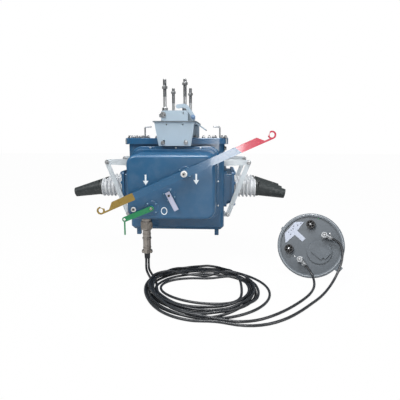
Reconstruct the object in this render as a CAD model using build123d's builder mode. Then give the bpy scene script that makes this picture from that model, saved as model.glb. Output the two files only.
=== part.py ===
from build123d import *
from math import cos, pi, radians, sin, tan
import os

# A pole-mounted vacuum load break switch in a rectangular tank, hung by its
# hanger from a crossarm, with its control cables and round control unit.
# Millimetres. X runs to the right, Y to the back and Z up.
# The origin is the middle of the hanger's seat, which the crossarm rests on.

os.makedirs("parts", exist_ok=True)

# Tank
tank_width = 496.0
tank_depth = 460.0
tank_height = 480.0
tank_corner = 28.0
tank_front = -145.0
bottom_chamfer = 16.0
seat_rise = 133.0
lid_thickness = 15.0
flange_thickness = 15.0
flange_lip = 18.0
foot_size = 22.0
foot_height = 35.0
foot_inset = 30.0

# Front frame and mechanism cover
frame_width = 446.0
frame_height = 372.0
frame_corner = 54.0
frame_depth = 36.0
frame_step = 12.0
frame_step_depth = 20.0
frame_below_lid = 42.0
cover_width = 420.0
cover_height = 310.0
cover_depth = 184.0
cover_corner = 50.0
cover_edge = 15.0
cover_draft = 2.0
cover_below_frame_top = 28.0

# Operating lever, turned about its middle
lever_x = 67.0
lever_below_lid = 157.0
lever_angle = 24.0
lever_reach = 416.0
lever_width = 34.0
lever_thickness = 6.0
lever_stand_off = 42.0
lever_blade_reach = 352.0
lever_cut_run = 26.0
ring_radius = 18.0
ring_hole_radius = 11.0
ring_gap = 13.0
neck_width = 8.0
lever_shaft_radius = 10.0
lever_boss_radius = 32.0
lever_washer_radius = 14.0
lever_washer_thickness = 3.0
lever_nut_flats = 17.0
lever_nut_thickness = 9.0

# Trip lever, its pull strip and its stop
trip_x = -88.0
trip_below_lid = 319.0
trip_angle = 22.6
trip_length = 134.0
trip_width = 24.0
trip_thickness = 5.0
trip_stand_off = 15.0
trip_boss_radius = 34.0
trip_pin_radius = 6.0
trip_pin_rise = 2.0
strip_width = 7.0
strip_thickness = 2.0
strip_length = 70.0
strip_pin_radius = 3.0
strip_rivet_radius = 4.8
strip_rivet_rise = 1.5
stop_x = -170.0
stop_below_lid = 324.0
stop_radius = 9.0
stop_height = 18.0
stop_shank_radius = 5.4
stop_head_thickness = 3.0

# Position pointer
pointer_x = -6.0
pointer_below_lid = 259.0
pointer_angle = 27.0
pointer_length = 93.0
pointer_width = 22.0
pointer_tail = 17.0
pointer_thickness = 4.0
pointer_stand_off = 12.0
pointer_boss_radius = 31.0
pointer_pin_radius = 5.0
pointer_pin_gap = 3.0

boss_height = 4.0
boss_floor = 1.0
pin_depth = 14.0
pin_tip_gap = 2.0
pin_clearance = 0.4
plate_gap = 0.4

# Side housings, bushings and cable boots
phase_spacing = 125.0
phase_middle = 85.0
bushing_below_lid = 267.0
side_plate_thickness = 14.0
side_plate_depth = 372.0
side_plate_height = 196.0
side_block_depth = 350.0
side_block_height = 164.0
side_block_thickness = 26.0
side_face_thickness = 14.0
side_face_height = 184.0
side_face_depth = 366.0
bushing_length = 114.0
bushing_core_radius = 38.0
shed_radius = 50.0
shed_count = 5
shed_tip = 5.0
shed_root = 12.0
shed_rise = 0.35
shed_droop = 2.0
boot_collar = 14.0
boot_radius = 43.0
boot_step = 2.0
boot_length = 148.0
boot_end_radius = 25.0
boot_droop = 12.0
cable_bore_radius = 19.5
cable_bore_depth = 60.0

# Side brackets
arm_front_y = -100.0
arm_rear_y = 276.0
arm_reach = 140.0
arm_below_lid = 126.0
arm_height = 38.0
arm_end_height = 26.0
arm_thickness = 6.0
arm_foot_width = 44.0
arm_foot_thickness = 6.0
brace_width = 24.0
brace_thickness = 5.0
brace_foot_below_lid = 404.0
brace_foot_reach = 32.0
stub_height = 22.0

# Hanger
hanger_front = -207.0
hanger_rear = 207.0
plate_thickness = 6.0
end_plate_top = 200.0
end_plate_bottom = 160.0
end_plate_drop = 39.0
end_plate_hole_radius = 6.0
small_hole_below = 12.0
small_hole_radius = 3.5
base_width = 216.0
saddle_height = 50.0
saddle_width = 132.0
saddle_wall = 7.0
saddle_corner = 12.0
stud_radius = 8.0
stud_spacing_x = 100.0
stud_spacing_y = 350.0
stud_rise = 153.0
stud_below = 24.0
stud_shank_radius = 9.0
stud_shank_gap = 0.2
stud_shoulder = 1.0
lug_height = 22.0
lug_width = 34.0
lug_spacing = 108.0
claw_thickness = 18.0
claw_depth = 16.0
claw_root_out = 8.0
claw_bend_radius = 21.6
claw_shoulder = (55.4, 24.3)
claw_tip = (15.8, 19.8)
claw_straight = 27.5
wing_length = 54.0
wing_depth = 200.0
wing_inset = 56.0
wing_angle = 36.0
wing_root_in = 22.0
wing_bend_in = 4.0
hook_rod_radius = 4.5
hook_rod_rise = 66.0
hook_rod_bend = 11.25
hook_rod_turn = 39.0
hook_rod_x = 223.0
hook_rod_y = 181.0

# Control socket and plug
socket_x = -136.0
socket_y = -276.0
socket_radius = 23.0
socket_length = 32.0
socket_flange_radius = 31.0
socket_flange_thickness = 6.0
socket_pad_border = 3.0
plug_nut_radius = 27.5
plug_nut_length = 46.0
plug_nut_edge = 2.0
plug_nut_taper = 8.0
plug_body_radius = 19.5
plug_body_length = 102.0
plug_clamp_width = 50.0
plug_clamp_height = 14.0
plug_clamp_depth = 22.4
plug_ring_rise = 3.0
sleeve_radius = 15.0
sleeve_end_radius = 13.5
sleeve_length = 30.0

# Control cables, lying on the ground in a loose coil
cable_radius = 5.5
ground = -783.0
coil_height = 34.0
coil_middle = (174.0, -557.0)
coil_reach = (270.0, 278.0)
coil_void_middle = (165.0, -535.0)
coil_void_reach = (160.0, 112.0)
coil_edge = 10.0

# Control unit, a hood that lies on its side
unit_x = 657.0
unit_y = -322.0
unit_turn = 21.0
unit_tilt = 24.0
unit_radius = 155.0
unit_face_radius = 139.0
unit_face_play = 1.0
unit_face_gap = 0.3
unit_rim = 14.0
unit_depth = 150.0
unit_lip_edge = 3.0
unit_back_fillet = 22.0
face_thickness = 5.0
face_recess = 6.0
unit_boss_radius = 57.0
unit_boss_height = 9.0
cap_radius = 21.0
cap_height = 16.0
connector_radius = 13.0
connector_length = 38.0
connector_nut_radius = 16.0
connector_nut_length = 12.0
barrel_radius = 9.5
barrel_collar_rise = 2.0
connector_cap_rise = 2.0
connector_places = {"connector_right": ((62.0, 52.0), -20.0), "connector_left": ((-38.0, -75.0), -42.0)}
cap_places = {"cap_right": (-6.0, 98.6), "cap_left": (-95.3, -30.2)}
cap_spokes = 6
unit_boss_place = (45.0, -28.0)
unit_lug_angle = -35.0
rim_piece_root = 4.0
unit_lug_width = 30.0
unit_lug_rise = 22.0
unit_latch_angle = 154.0
unit_latch_width = 14.0
unit_latch_rise = 5.0
status_plate_thickness = 2.0

lid_top = -seat_rise
lid_under = lid_top - lid_thickness
flange_under = lid_under - flange_thickness
tank_floor = lid_top - tank_height
tank_side = tank_width / 2
tank_middle = tank_front + tank_depth / 2
frame_middle_z = lid_top - frame_below_lid - frame_height / 2
frame_front = tank_front - frame_depth - frame_step_depth
cover_top = lid_top - frame_below_lid - cover_below_frame_top
cover_middle_z = cover_top - cover_height / 2
cover_bottom = cover_top - cover_height
cover_front = frame_front - cover_depth


def facing_front(x, y, z, turn=0.0):
    """A plane that faces the front, its own X turned up from the row's X by turn degrees."""
    across = (cos(radians(turn)), 0, sin(radians(turn)))
    return Plane(origin=(x, y, z), x_dir=across, z_dir=(0, -1, 0))


def facing_side(x, y, z, sign):
    """A plane that faces away from the tank on its right (1) or left (-1), its own Y up."""
    return Plane(origin=(x, y, z), x_dir=(0, sign, 0), z_dir=(sign, 0, 0))


def save(part, name):
    """Label a finished piece and write its file."""
    part.label = name
    export_step(part, f"parts/{name}.step")


# Tank body with its top flange
flange_width = tank_width + 2 * flange_lip
flange_depth = tank_depth + 2 * flange_lip
with BuildPart() as tank_body:
    with BuildSketch(Plane.XY.offset(tank_floor)):
        with Locations((0, tank_middle)):
            RectangleRounded(tank_width, tank_depth, tank_corner)
    extrude(amount=flange_under - tank_floor)
    chamfer(tank_body.faces().sort_by(Axis.Z)[0].edges(), bottom_chamfer)
    with BuildSketch(Plane.XY.offset(flange_under)):
        with Locations((0, tank_middle)):
            RectangleRounded(flange_width, flange_depth, tank_corner + flange_lip)
    extrude(amount=flange_thickness)
save(tank_body.part, "tank_body")

# Lid, bolted down on the flange
with BuildPart() as tank_lid:
    with BuildSketch(Plane.XY.offset(lid_under)):
        with Locations((0, tank_middle)):
            RectangleRounded(flange_width, flange_depth, tank_corner + flange_lip)
    extrude(amount=lid_thickness)
    chamfer(tank_lid.faces().sort_by(Axis.Z)[-1].edges(), lid_thickness / 6)
save(tank_lid.part, "tank_lid")

# Feet, four square stubs under the tank
foot_spacing_x = tank_width - 2 * (foot_inset + bottom_chamfer / 2)
foot_spacing_y = tank_depth - 2 * (foot_inset + bottom_chamfer / 2)
with BuildPart() as feet:
    with BuildSketch(Plane.XY.offset(tank_floor - foot_height)):
        with Locations((0, tank_middle)):
            with GridLocations(foot_spacing_x, foot_spacing_y, 2, 2):
                Rectangle(foot_size, foot_size)
    extrude(amount=foot_height)
    chamfer(feet.faces().filter_by(Axis.Z).group_by(Axis.Z)[0].edges(), foot_size / 12)
save(feet.part, "feet")

# Front frame, a stepped collar that the mechanism cover closes
step_width = frame_width - 2 * frame_step
step_height = frame_height - 2 * frame_step
with BuildPart() as front_frame:
    with BuildSketch(facing_front(0, tank_front, frame_middle_z)):
        RectangleRounded(frame_width, frame_height, frame_corner)
    extrude(amount=frame_depth)
    chamfer(front_frame.faces().sort_by(Axis.Y)[0].edges(), frame_step / 4)
    with BuildSketch(facing_front(0, tank_front - frame_depth, frame_middle_z)):
        RectangleRounded(step_width, step_height, frame_corner - frame_step)
    extrude(amount=frame_step_depth)
    fillet(front_frame.faces().sort_by(Axis.Y)[0].edges(), frame_step / 4)
save(front_frame.part, "front_frame")

# Mechanism cover, pressed with a little draft and soft front edges, with the
# socket's flat pad underneath
pad_z = cover_bottom - socket_flange_thickness / 2
with BuildPart() as mechanism_cover:
    with BuildSketch(facing_front(0, frame_front, cover_middle_z)):
        RectangleRounded(cover_width, cover_height, cover_corner)
    extrude(amount=cover_depth, taper=cover_draft)
    fillet(mechanism_cover.faces().sort_by(Axis.Y)[0].edges(), cover_edge)
    with BuildSketch(Plane.XY.offset(pad_z)):
        with Locations((socket_x, socket_y)):
            Circle(socket_flange_radius + socket_pad_border)
    extrude(amount=cover_corner)
save(mechanism_cover.part, "mechanism_cover")


def round_boss(name, radius, pin_radius, x, z, rise):
    """A round spindle boss on the cover with a blind hole for the pin that turns in it."""
    with BuildPart() as boss:
        with BuildSketch(facing_front(x, cover_front, z)):
            Circle(radius)
        extrude(amount=boss_height)
        chamfer(boss.faces().sort_by(Axis.Y)[0].edges(), boss_height / 4)
        with BuildSketch(facing_front(x, cover_front, z)):
            Circle(2 * pin_radius)
        extrude(amount=rise)
        with BuildSketch(facing_front(x, cover_front - rise, z)):
            Circle(pin_radius + pin_clearance)
        extrude(amount=boss_floor - min(pin_depth, rise), mode=Mode.SUBTRACT)
    save(boss.part, name)


lever_z = lid_top - lever_below_lid
trip_z = lid_top - trip_below_lid
pointer_z = lid_top - pointer_below_lid
round_boss("trip_boss", trip_boss_radius, trip_pin_radius, trip_x, trip_z, trip_stand_off)
round_boss("pointer_boss", pointer_boss_radius, pointer_pin_radius, pointer_x, pointer_z, pointer_stand_off)
round_boss("lever_boss", lever_boss_radius, lever_shaft_radius, lever_x, lever_z, lever_stand_off)

# Stop bolt above the trip lever
with BuildPart() as trip_stop:
    with BuildSketch(facing_front(stop_x, cover_front, lid_top - stop_below_lid)):
        Circle(stop_shank_radius)
    extrude(amount=stop_height)
    with BuildSketch(facing_front(stop_x, cover_front - stop_height, lid_top - stop_below_lid)):
        Circle(stop_radius)
    extrude(amount=stop_head_thickness)
    chamfer(trip_stop.faces().sort_by(Axis.Y)[0].edges(), stop_head_thickness / 4)
save(trip_stop.part, "trip_stop")


def lever_outline():
    """Half of the operating lever: blade, diagonal cut, neck and open ring, towards its own +X."""
    half = lever_width / 2
    neck_top = neck_width - half
    with BuildSketch() as outline:
        with BuildLine():
            Polyline(
                (0, -half),
                (lever_reach, -half),
                (lever_reach, neck_top),
                (lever_blade_reach + lever_cut_run, neck_top),
                (lever_blade_reach, half),
                (0, half),
                close=True,
            )
        make_face()
        with Locations((lever_reach, ring_radius - half)):
            Circle(ring_radius)
            Circle(ring_hole_radius, mode=Mode.SUBTRACT)
        gap_place = (lever_reach - ring_radius * 0.75, ring_radius - half + ring_radius * 0.75)
        with Locations(Location((gap_place[0], gap_place[1], 0), (0, 0, -45))):
            Rectangle(ring_gap, ring_radius, mode=Mode.SUBTRACT)
    return outline.sketch


lever_back = cover_front - lever_stand_off - plate_gap
with BuildPart() as operating_lever:
    with BuildSketch(facing_front(lever_x, lever_back, lever_z, lever_angle)):
        add(lever_outline())
        mirror(about=Plane.YZ)
        Circle(lever_shaft_radius - 2 * pin_clearance, mode=Mode.SUBTRACT)
    extrude(amount=lever_thickness)
save(operating_lever.part, "operating_lever")

# Lever hub: the spindle that turns in the boss, its white washer and its nut
lever_face = lever_back - lever_thickness
spindle_length = pin_depth - pin_tip_gap
with BuildPart() as lever_hub:
    with BuildSketch(facing_front(lever_x, cover_front - lever_stand_off + spindle_length, lever_z)):
        Circle(lever_shaft_radius)
    extrude(amount=spindle_length)
    with BuildSketch(facing_front(lever_x, cover_front - lever_stand_off, lever_z)):
        Circle(lever_shaft_radius - 2 * pin_clearance)
    extrude(amount=plate_gap + lever_thickness)
    with BuildSketch(facing_front(lever_x, lever_face, lever_z)):
        Circle(lever_washer_radius)
    extrude(amount=lever_washer_thickness)
    with BuildSketch(facing_front(lever_x, lever_face - lever_washer_thickness, lever_z, lever_angle)):
        RegularPolygon(lever_nut_flats / 2, 6, major_radius=False)
    extrude(amount=lever_nut_thickness)
    chamfer(lever_hub.faces().sort_by(Axis.Y)[0].edges(), lever_nut_thickness / 9)
save(lever_hub.part, "lever_hub")

# Trip lever with its pin, held up against the stop
trip_back = cover_front - trip_stand_off - plate_gap
trip_turn = 180.0 + trip_angle
with BuildPart() as trip_lever:
    with BuildSketch(facing_front(trip_x, trip_back, trip_z, trip_turn)):
        with Locations((trip_length / 2, 0)):
            SlotCenterToCenter(trip_length, trip_width)
        with Locations((trip_length, 0)):
            Circle(strip_pin_radius + pin_clearance, mode=Mode.SUBTRACT)
    extrude(amount=trip_thickness)
    with BuildSketch(facing_front(trip_x, trip_back, trip_z)):
        Circle(trip_pin_radius)
    extrude(amount=pin_tip_gap - pin_depth)
    with BuildSketch(facing_front(trip_x, trip_back - trip_thickness, trip_z)):
        Circle(trip_pin_radius)
    extrude(amount=trip_pin_rise)
save(trip_lever.part, "trip_lever")

# Pull strip, which swings from a rivet in the trip lever's free end
strip_x = trip_x + trip_length * cos(radians(trip_turn))
strip_z = trip_z + trip_length * sin(radians(trip_turn))
strip_back = trip_back - trip_thickness - plate_gap
with BuildPart() as pull_strip:
    with BuildSketch(facing_front(strip_x, strip_back, strip_z)):
        with Locations((0, -strip_length / 2)):
            SlotCenterToCenter(strip_length, strip_width, rotation=90)
    extrude(amount=strip_thickness)
    with BuildSketch(facing_front(strip_x, strip_back, strip_z)):
        Circle(strip_pin_radius)
    extrude(amount=-(trip_thickness + 2 * plate_gap))
    with BuildSketch(facing_front(strip_x, trip_back + plate_gap, strip_z)):
        Circle(strip_rivet_radius)
    extrude(amount=-strip_rivet_rise)
save(pull_strip.part, "pull_strip")

# Position pointer, a plate that swings over one of the two position marks
pointer_back = cover_front - pointer_stand_off - plate_gap
with BuildPart() as position_pointer:
    with BuildSketch(facing_front(pointer_x, pointer_back, pointer_z, pointer_angle - 90)):
        with Locations((pointer_length / 2 - pointer_tail, 0)):
            RectangleRounded(pointer_length, pointer_width, pointer_width / 12)
    extrude(amount=pointer_thickness)
    with BuildSketch(facing_front(pointer_x, pointer_back, pointer_z)):
        Circle(pointer_pin_radius)
    extrude(amount=pointer_pin_gap - pointer_stand_off)
save(position_pointer.part, "position_pointer")

# Side housings with three bushings and three moulded cable boots on each side
bushing_z = lid_top - bushing_below_lid
block_start = tank_side + side_plate_thickness
face_start = block_start + side_block_thickness
bushing_start = face_start + side_face_thickness
boot_start = bushing_start + bushing_length


def shed_profile():
    """Half of a bushing's section along its axis, from its housing (0) to its end, as corner points."""
    pitch = (bushing_length - shed_root) / shed_count
    corners = [(0, 0), (0, shed_radius), (shed_tip, shed_radius), (shed_root, bushing_core_radius)]
    for shed in range(shed_count):
        rise = shed_root + (shed + shed_rise) * pitch
        fall = shed_root + (shed + 1) * pitch
        corners.append((rise, bushing_core_radius))
        corners.append((fall - shed_tip, shed_radius))
        corners.append((fall, shed_radius - shed_droop))
        if shed < shed_count - 1:
            corners.append((fall, bushing_core_radius))
    corners.append((bushing_length, 0))
    return corners


def side_housing(sign):
    """The stepped housing on the tank's side that carries the bushings."""
    steps = (
        (tank_side, side_plate_depth, side_plate_height, side_plate_thickness),
        (block_start, side_block_depth, side_block_height, side_block_thickness),
        (face_start, side_face_depth, side_face_height, side_face_thickness),
    )
    with BuildPart() as housing:
        for start, depth, height, thickness in steps:
            with BuildSketch(facing_side(sign * start, phase_middle, bushing_z, sign)):
                RectangleRounded(depth, height, height / 10)
            extrude(amount=thickness)
        outer = housing.faces().filter_by(Axis.X).sort_by(Axis.X)[-1 if sign > 0 else 0]
        chamfer(outer.edges(), side_face_thickness / 5)
    return housing.part


def bushing(sign, y):
    """One shedded insulator, turned about its axis."""
    middle = Plane(origin=(sign * bushing_start, y, bushing_z), x_dir=(sign, 0, 0), z_dir=(0, -1, 0))
    with BuildPart() as insulator:
        with BuildSketch(middle):
            with BuildLine():
                Polyline(*shed_profile(), close=True)
            make_face()
        revolve(axis=Axis(middle.origin, middle.x_dir))
    return insulator.part


def boot(sign, y):
    """One moulded boot: a collar against the bushing, a drooping cone and the cable's blind socket."""
    start = (sign * boot_start, y, bushing_z)
    bend = (sign * (boot_start + boot_collar), y, bushing_z)
    collar = Plane(origin=start, x_dir=(0, 1, 0), z_dir=(sign, 0, 0))
    droop = (sign * cos(radians(boot_droop)), 0, -sin(radians(boot_droop)))
    root = Plane(origin=bend, x_dir=(0, 1, 0), z_dir=droop)
    tip = root.offset(boot_length)
    with BuildPart() as cone:
        with BuildSketch(collar):
            Circle(boot_radius)
        extrude(amount=boot_collar)
        with BuildSketch(root):
            Circle(boot_radius - boot_step)
        with BuildSketch(tip):
            Circle(boot_end_radius)
        loft()
        with BuildSketch(tip):
            Circle(cable_bore_radius)
        extrude(amount=-cable_bore_depth, mode=Mode.SUBTRACT)
    return cone.part


def three_phases(make, sign):
    """Three like solids, one for each phase, kept apart in one piece's file."""
    phases = [phase_middle + step * phase_spacing for step in (-1, 0, 1)]
    return Compound([solid for y in phases for solid in make(sign, y).solids()])


for side, sign in (("right", 1), ("left", -1)):
    save(side_housing(sign), f"side_housing_{side}")
    save(three_phases(bushing, sign), f"bushings_{side}")
    save(three_phases(boot, sign), f"cable_boots_{side}")

# Side brackets: tapered arms from the tank, with braces down to stubs
arm_z = lid_top - arm_below_lid
brace_foot_z = lid_top - brace_foot_below_lid
joint_x = tank_side + arm_reach - arm_end_height / 2
foot_x = tank_side + brace_foot_reach - stub_height / 2


def bracket_arm(sign, y):
    """A tapered plate standing out from the tank, with its foot plate on the tank's side."""
    with BuildPart() as arm:
        with BuildSketch(facing_front(0, y, arm_z)):
            with BuildLine():
                Polyline(
                    (sign * tank_side, -arm_height / 2),
                    (sign * joint_x, -arm_end_height / 2),
                    (sign * joint_x, arm_end_height / 2),
                    (sign * tank_side, arm_height / 2),
                    close=True,
                )
            make_face()
            with Locations((sign * joint_x, 0)):
                Circle(arm_end_height / 2)
        extrude(amount=-arm_thickness)
        with BuildSketch(facing_side(sign * tank_side, y + arm_foot_width / 2, arm_z, sign)):
            RectangleRounded(arm_foot_width, arm_height, arm_height / 8)
        extrude(amount=arm_foot_thickness)
    return arm.part


def brace_stub(sign, y):
    """The lug low on the tank's side that a brace is bolted to."""
    with BuildPart() as stub:
        with BuildSketch(facing_front(0, y, brace_foot_z)):
            with Locations((sign * (tank_side + foot_x) / 2, 0)):
                Rectangle(foot_x - tank_side, stub_height)
            with Locations((sign * foot_x, 0)):
                Circle(stub_height / 2)
        extrude(amount=-arm_thickness)
        with BuildSketch(facing_side(sign * tank_side, y + arm_foot_width / 2, brace_foot_z, sign)):
            RectangleRounded(arm_foot_width, stub_height, stub_height / 8)
        extrude(amount=arm_foot_thickness)
    return stub.part


def bracket_brace(sign, y):
    """A flat bar from the arm's end down to the stub, on the front of both."""
    run = joint_x - foot_x
    rise = arm_z - brace_foot_z
    length = (run**2 + rise**2) ** 0.5
    lean = Vector(1, 0).get_angle(Vector(run, rise))
    turn = lean if sign > 0 else 180 - lean
    with BuildPart() as brace:
        with BuildSketch(facing_front(sign * (joint_x + foot_x) / 2, y, (arm_z + brace_foot_z) / 2, turn)):
            SlotCenterToCenter(length, brace_width)
        extrude(amount=brace_thickness)
    return brace.part


def two_frames(make, sign):
    """Two like solids, in front and behind, kept apart in one piece's file."""
    return Compound([solid for y in (arm_front_y, arm_rear_y) for solid in make(sign, y).solids()])


for side, sign in (("right", 1), ("left", -1)):
    save(two_frames(bracket_arm, sign), f"bracket_arms_{side}")
    save(two_frames(brace_stub, sign), f"brace_stubs_{side}")
    save(two_frames(bracket_brace, sign), f"bracket_braces_{side}")

# Hanger: end plates and base plate
base_top = -saddle_height
base_under = base_top - plate_thickness
end_plate_foot = lid_top - end_plate_drop
lug_z = lid_top - (lid_thickness + flange_thickness) / 2
with BuildPart() as hanger_front_plate:
    with BuildSketch(facing_front(0, hanger_front + plate_thickness, 0)):
        with BuildLine():
            Polyline(
                (-end_plate_bottom / 2, end_plate_foot),
                (end_plate_bottom / 2, end_plate_foot),
                (end_plate_top / 2, base_under),
                (-end_plate_top / 2, base_under),
                close=True,
            )
        make_face()
        with Locations((0, lug_z)):
            with GridLocations(lug_spacing, 0, 2, 1):
                Circle(end_plate_hole_radius, mode=Mode.SUBTRACT)
        with Locations((0, base_under - small_hole_below)):
            with GridLocations(end_plate_bottom / 2, 0, 2, 1):
                Circle(small_hole_radius, mode=Mode.SUBTRACT)
    extrude(amount=plate_thickness)
save(hanger_front_plate.part, "hanger_front_plate")

# Lugs that carry the front plate off the tank's flange
lug_depth = (tank_front - flange_lip) - (hanger_front + plate_thickness)
with BuildPart() as hanger_lugs:
    with BuildSketch(facing_front(0, tank_front - flange_lip, lug_z)):
        with GridLocations(lug_spacing, 0, 2, 1):
            RectangleRounded(lug_width, lug_height, lug_height / 6)
            Circle(end_plate_hole_radius, mode=Mode.SUBTRACT)
    extrude(amount=lug_depth)
save(hanger_lugs.part, "hanger_lugs")

with BuildPart() as hanger_rear_leg:
    with BuildSketch(facing_front(0, hanger_rear, (base_under + lid_top) / 2)):
        Rectangle(end_plate_top, base_under - lid_top)
    extrude(amount=plate_thickness)
    with BuildSketch(Plane.XY.offset(lid_top)):
        with Locations((0, hanger_rear - lug_width / 2)):
            Rectangle(end_plate_top, lug_width)
            with GridLocations(end_plate_bottom, 0, 2, 1):
                Circle(end_plate_hole_radius, mode=Mode.SUBTRACT)
    extrude(amount=plate_thickness)
save(hanger_rear_leg.part, "hanger_rear_leg")

with BuildPart() as hanger_base_plate:
    with BuildSketch(Plane.XY.offset(base_under)):
        with Locations((0, (hanger_front + hanger_rear) / 2)):
            RectangleRounded(base_width, hanger_rear - hanger_front + 2 * plate_thickness, plate_thickness)
            with GridLocations(stud_spacing_x, stud_spacing_y, 2, 2):
                Circle(stud_shank_radius + stud_shank_gap, mode=Mode.SUBTRACT)
    extrude(amount=plate_thickness)
save(hanger_base_plate.part, "hanger_base_plate")

# Saddle: an upturned channel along the hanger whose top is the crossarm's seat
saddle_length = hanger_rear - hanger_front - 2 * plate_thickness
with BuildPart() as hanger_saddle:
    with BuildSketch(facing_front(0, saddle_length / 2, -saddle_height / 2)):
        RectangleRounded(saddle_width, saddle_height, saddle_corner)
        with Locations((0, -saddle_height / 4)):
            Rectangle(saddle_width, saddle_height / 2)
        with Locations((0, -saddle_wall / 2)):
            Rectangle(saddle_width - 2 * saddle_wall, saddle_height - saddle_wall, mode=Mode.SUBTRACT)
    extrude(amount=saddle_length)
    with BuildSketch(Plane.XY):
        with GridLocations(stud_spacing_x, stud_spacing_y, 2, 2):
            Circle(stud_shank_radius + stud_shank_gap)
    extrude(amount=-saddle_wall, mode=Mode.SUBTRACT)
save(hanger_saddle.part, "hanger_saddle")

with BuildPart() as saddle_end_plate:
    with BuildSketch(facing_front(0, hanger_front + plate_thickness, -saddle_height / 2)):
        RectangleRounded(saddle_width, saddle_height, saddle_corner)
        with Locations((0, -saddle_height / 4)):
            Rectangle(saddle_width, saddle_height / 2)
        with Locations((saddle_width / 3, saddle_height / 4)):
            Circle(small_hole_radius, mode=Mode.SUBTRACT)
    extrude(amount=plate_thickness)
save(saddle_end_plate.part, "saddle_end_plate")

# Four studs that clamp the crossarm down on the seat, thicker where they pass through the plates
with BuildPart() as hanger_studs:
    with BuildSketch(Plane.XY.offset(base_under - stud_below)):
        with GridLocations(stud_spacing_x, stud_spacing_y, 2, 2):
            Circle(stud_shank_radius)
    extrude(amount=stud_below - base_under - stud_shoulder)
    with BuildSketch(Plane.XY.offset(-stud_shoulder)):
        with GridLocations(stud_spacing_x, stud_spacing_y, 2, 2):
            Circle(stud_radius)
    extrude(amount=stud_rise + stud_shoulder)
    chamfer(hanger_studs.faces().filter_by(Axis.Z).group_by(Axis.Z)[-1].edges(), stud_radius / 5)
save(hanger_studs.part, "hanger_studs")

# Claw at the saddle's right, a bent bar whose tip reaches in over the seat
claw_root_x = saddle_width / 2 + claw_thickness + claw_root_out
with BuildPart() as clamp_claw:
    with BuildSketch(facing_front(0, hanger_front + plate_thickness + claw_depth, 0)):
        with BuildLine():
            FilletPolyline(
                (claw_root_x, base_top + claw_thickness / 2),
                (claw_root_x, -claw_straight),
                claw_shoulder,
                claw_tip,
                radius=claw_bend_radius,
            )
            offset(amount=claw_thickness / 2, side=Side.BOTH)
        make_face()
    extrude(amount=claw_depth)
save(clamp_claw.part, "clamp_claw")

# Wing, a bent plate that slopes out of the base plate's right edge
wing_y = hanger_front + wing_inset
with BuildPart() as hanger_wing:
    with BuildSketch(facing_front(0, wing_y + wing_depth, 0)):
        with BuildLine():
            Polyline(
                (base_width / 2 - wing_root_in, base_under - plate_thickness / 2),
                (base_width / 2 - wing_bend_in, base_under - plate_thickness / 2),
                (
                    base_width / 2 - wing_bend_in + wing_length * cos(radians(wing_angle)),
                    base_under - plate_thickness / 2 - wing_length * sin(radians(wing_angle)),
                ),
            )
            offset(amount=plate_thickness / 2, side=Side.BOTH, kind=Kind.INTERSECTION)
        make_face()
    extrude(amount=wing_depth)
save(hanger_wing.part, "hanger_wing")

# Bent rods that stand on the lid behind
for side, sign in (("right", 1), ("left", -1)):
    with BuildPart() as lid_rod:
        with BuildLine():
            FilletPolyline(
                (sign * hook_rod_x, hook_rod_y, lid_top),
                (sign * hook_rod_x, hook_rod_y, lid_top + hook_rod_rise),
                (sign * (hook_rod_x - hook_rod_turn), hook_rod_y, lid_top + hook_rod_rise),
                radius=hook_rod_bend,
            )
        with BuildSketch(Plane(origin=(sign * hook_rod_x, hook_rod_y, lid_top), z_dir=(0, 0, 1))):
            Circle(hook_rod_radius)
        sweep()
    save(lid_rod.part, f"lid_rod_{side}")

# Control socket under the mechanism cover
plug_top = pad_z - socket_flange_thickness - socket_length / 2
with BuildPart() as control_socket:
    with BuildSketch(Plane.XY.offset(pad_z)):
        with Locations((socket_x, socket_y)):
            Circle(socket_flange_radius)
    extrude(amount=-socket_flange_thickness)
    with BuildSketch(Plane.XY.offset(pad_z - socket_flange_thickness)):
        with Locations((socket_x, socket_y)):
            Circle(socket_radius)
    extrude(amount=plug_top - pad_z + socket_flange_thickness)
save(control_socket.part, "control_socket")

# Plug with its knurled nut, ringed body and rear clamp
nut_bottom = plug_top - plug_nut_length
plug_bottom = nut_bottom - plug_body_length - plug_clamp_height
with BuildPart() as control_plug:
    with BuildSketch(facing_front(socket_x, socket_y, 0)):
        with BuildLine():
            ring_top = nut_bottom - 0.34 * plug_body_length
            Polyline(
                (0, plug_top),
                (plug_nut_radius - plug_nut_edge, plug_top),
                (plug_nut_radius, plug_top - plug_nut_edge),
                (plug_nut_radius, nut_bottom + plug_nut_taper),
                (plug_body_radius + plug_nut_edge, nut_bottom),
                (plug_body_radius, nut_bottom),
                (plug_body_radius, ring_top),
                (plug_body_radius + plug_ring_rise, ring_top - plug_ring_rise),
                (plug_body_radius + plug_ring_rise, ring_top - 3 * plug_ring_rise),
                (plug_body_radius, ring_top - 4 * plug_ring_rise),
                (plug_body_radius, plug_bottom + plug_clamp_height / 2),
                (0, plug_bottom + plug_clamp_height / 2),
                close=True,
            )
        make_face()
    revolve(axis=Axis((socket_x, socket_y, 0), (0, 0, 1)))
    with BuildSketch(Plane.XY.offset(plug_bottom)):
        with Locations((socket_x, socket_y)):
            RectangleRounded(plug_clamp_width, plug_clamp_depth, plug_clamp_height / 3)
            Circle(plug_body_radius)
    extrude(amount=plug_clamp_height)
save(control_plug.part, "control_plug")

# Sleeve, tapered, that both cables leave the plug through
sleeve_bottom = plug_bottom - sleeve_length
with BuildPart() as plug_sleeve:
    with BuildSketch(Plane.XY.offset(plug_bottom)):
        with Locations((socket_x, socket_y)):
            SlotOverall(2 * sleeve_radius, 1.3 * sleeve_radius)
    with BuildSketch(Plane.XY.offset(sleeve_bottom)):
        with Locations((socket_x, socket_y)):
            SlotOverall(2 * sleeve_end_radius, 1.1 * sleeve_end_radius)
    loft()
save(plug_sleeve.part, "plug_sleeve")

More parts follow.
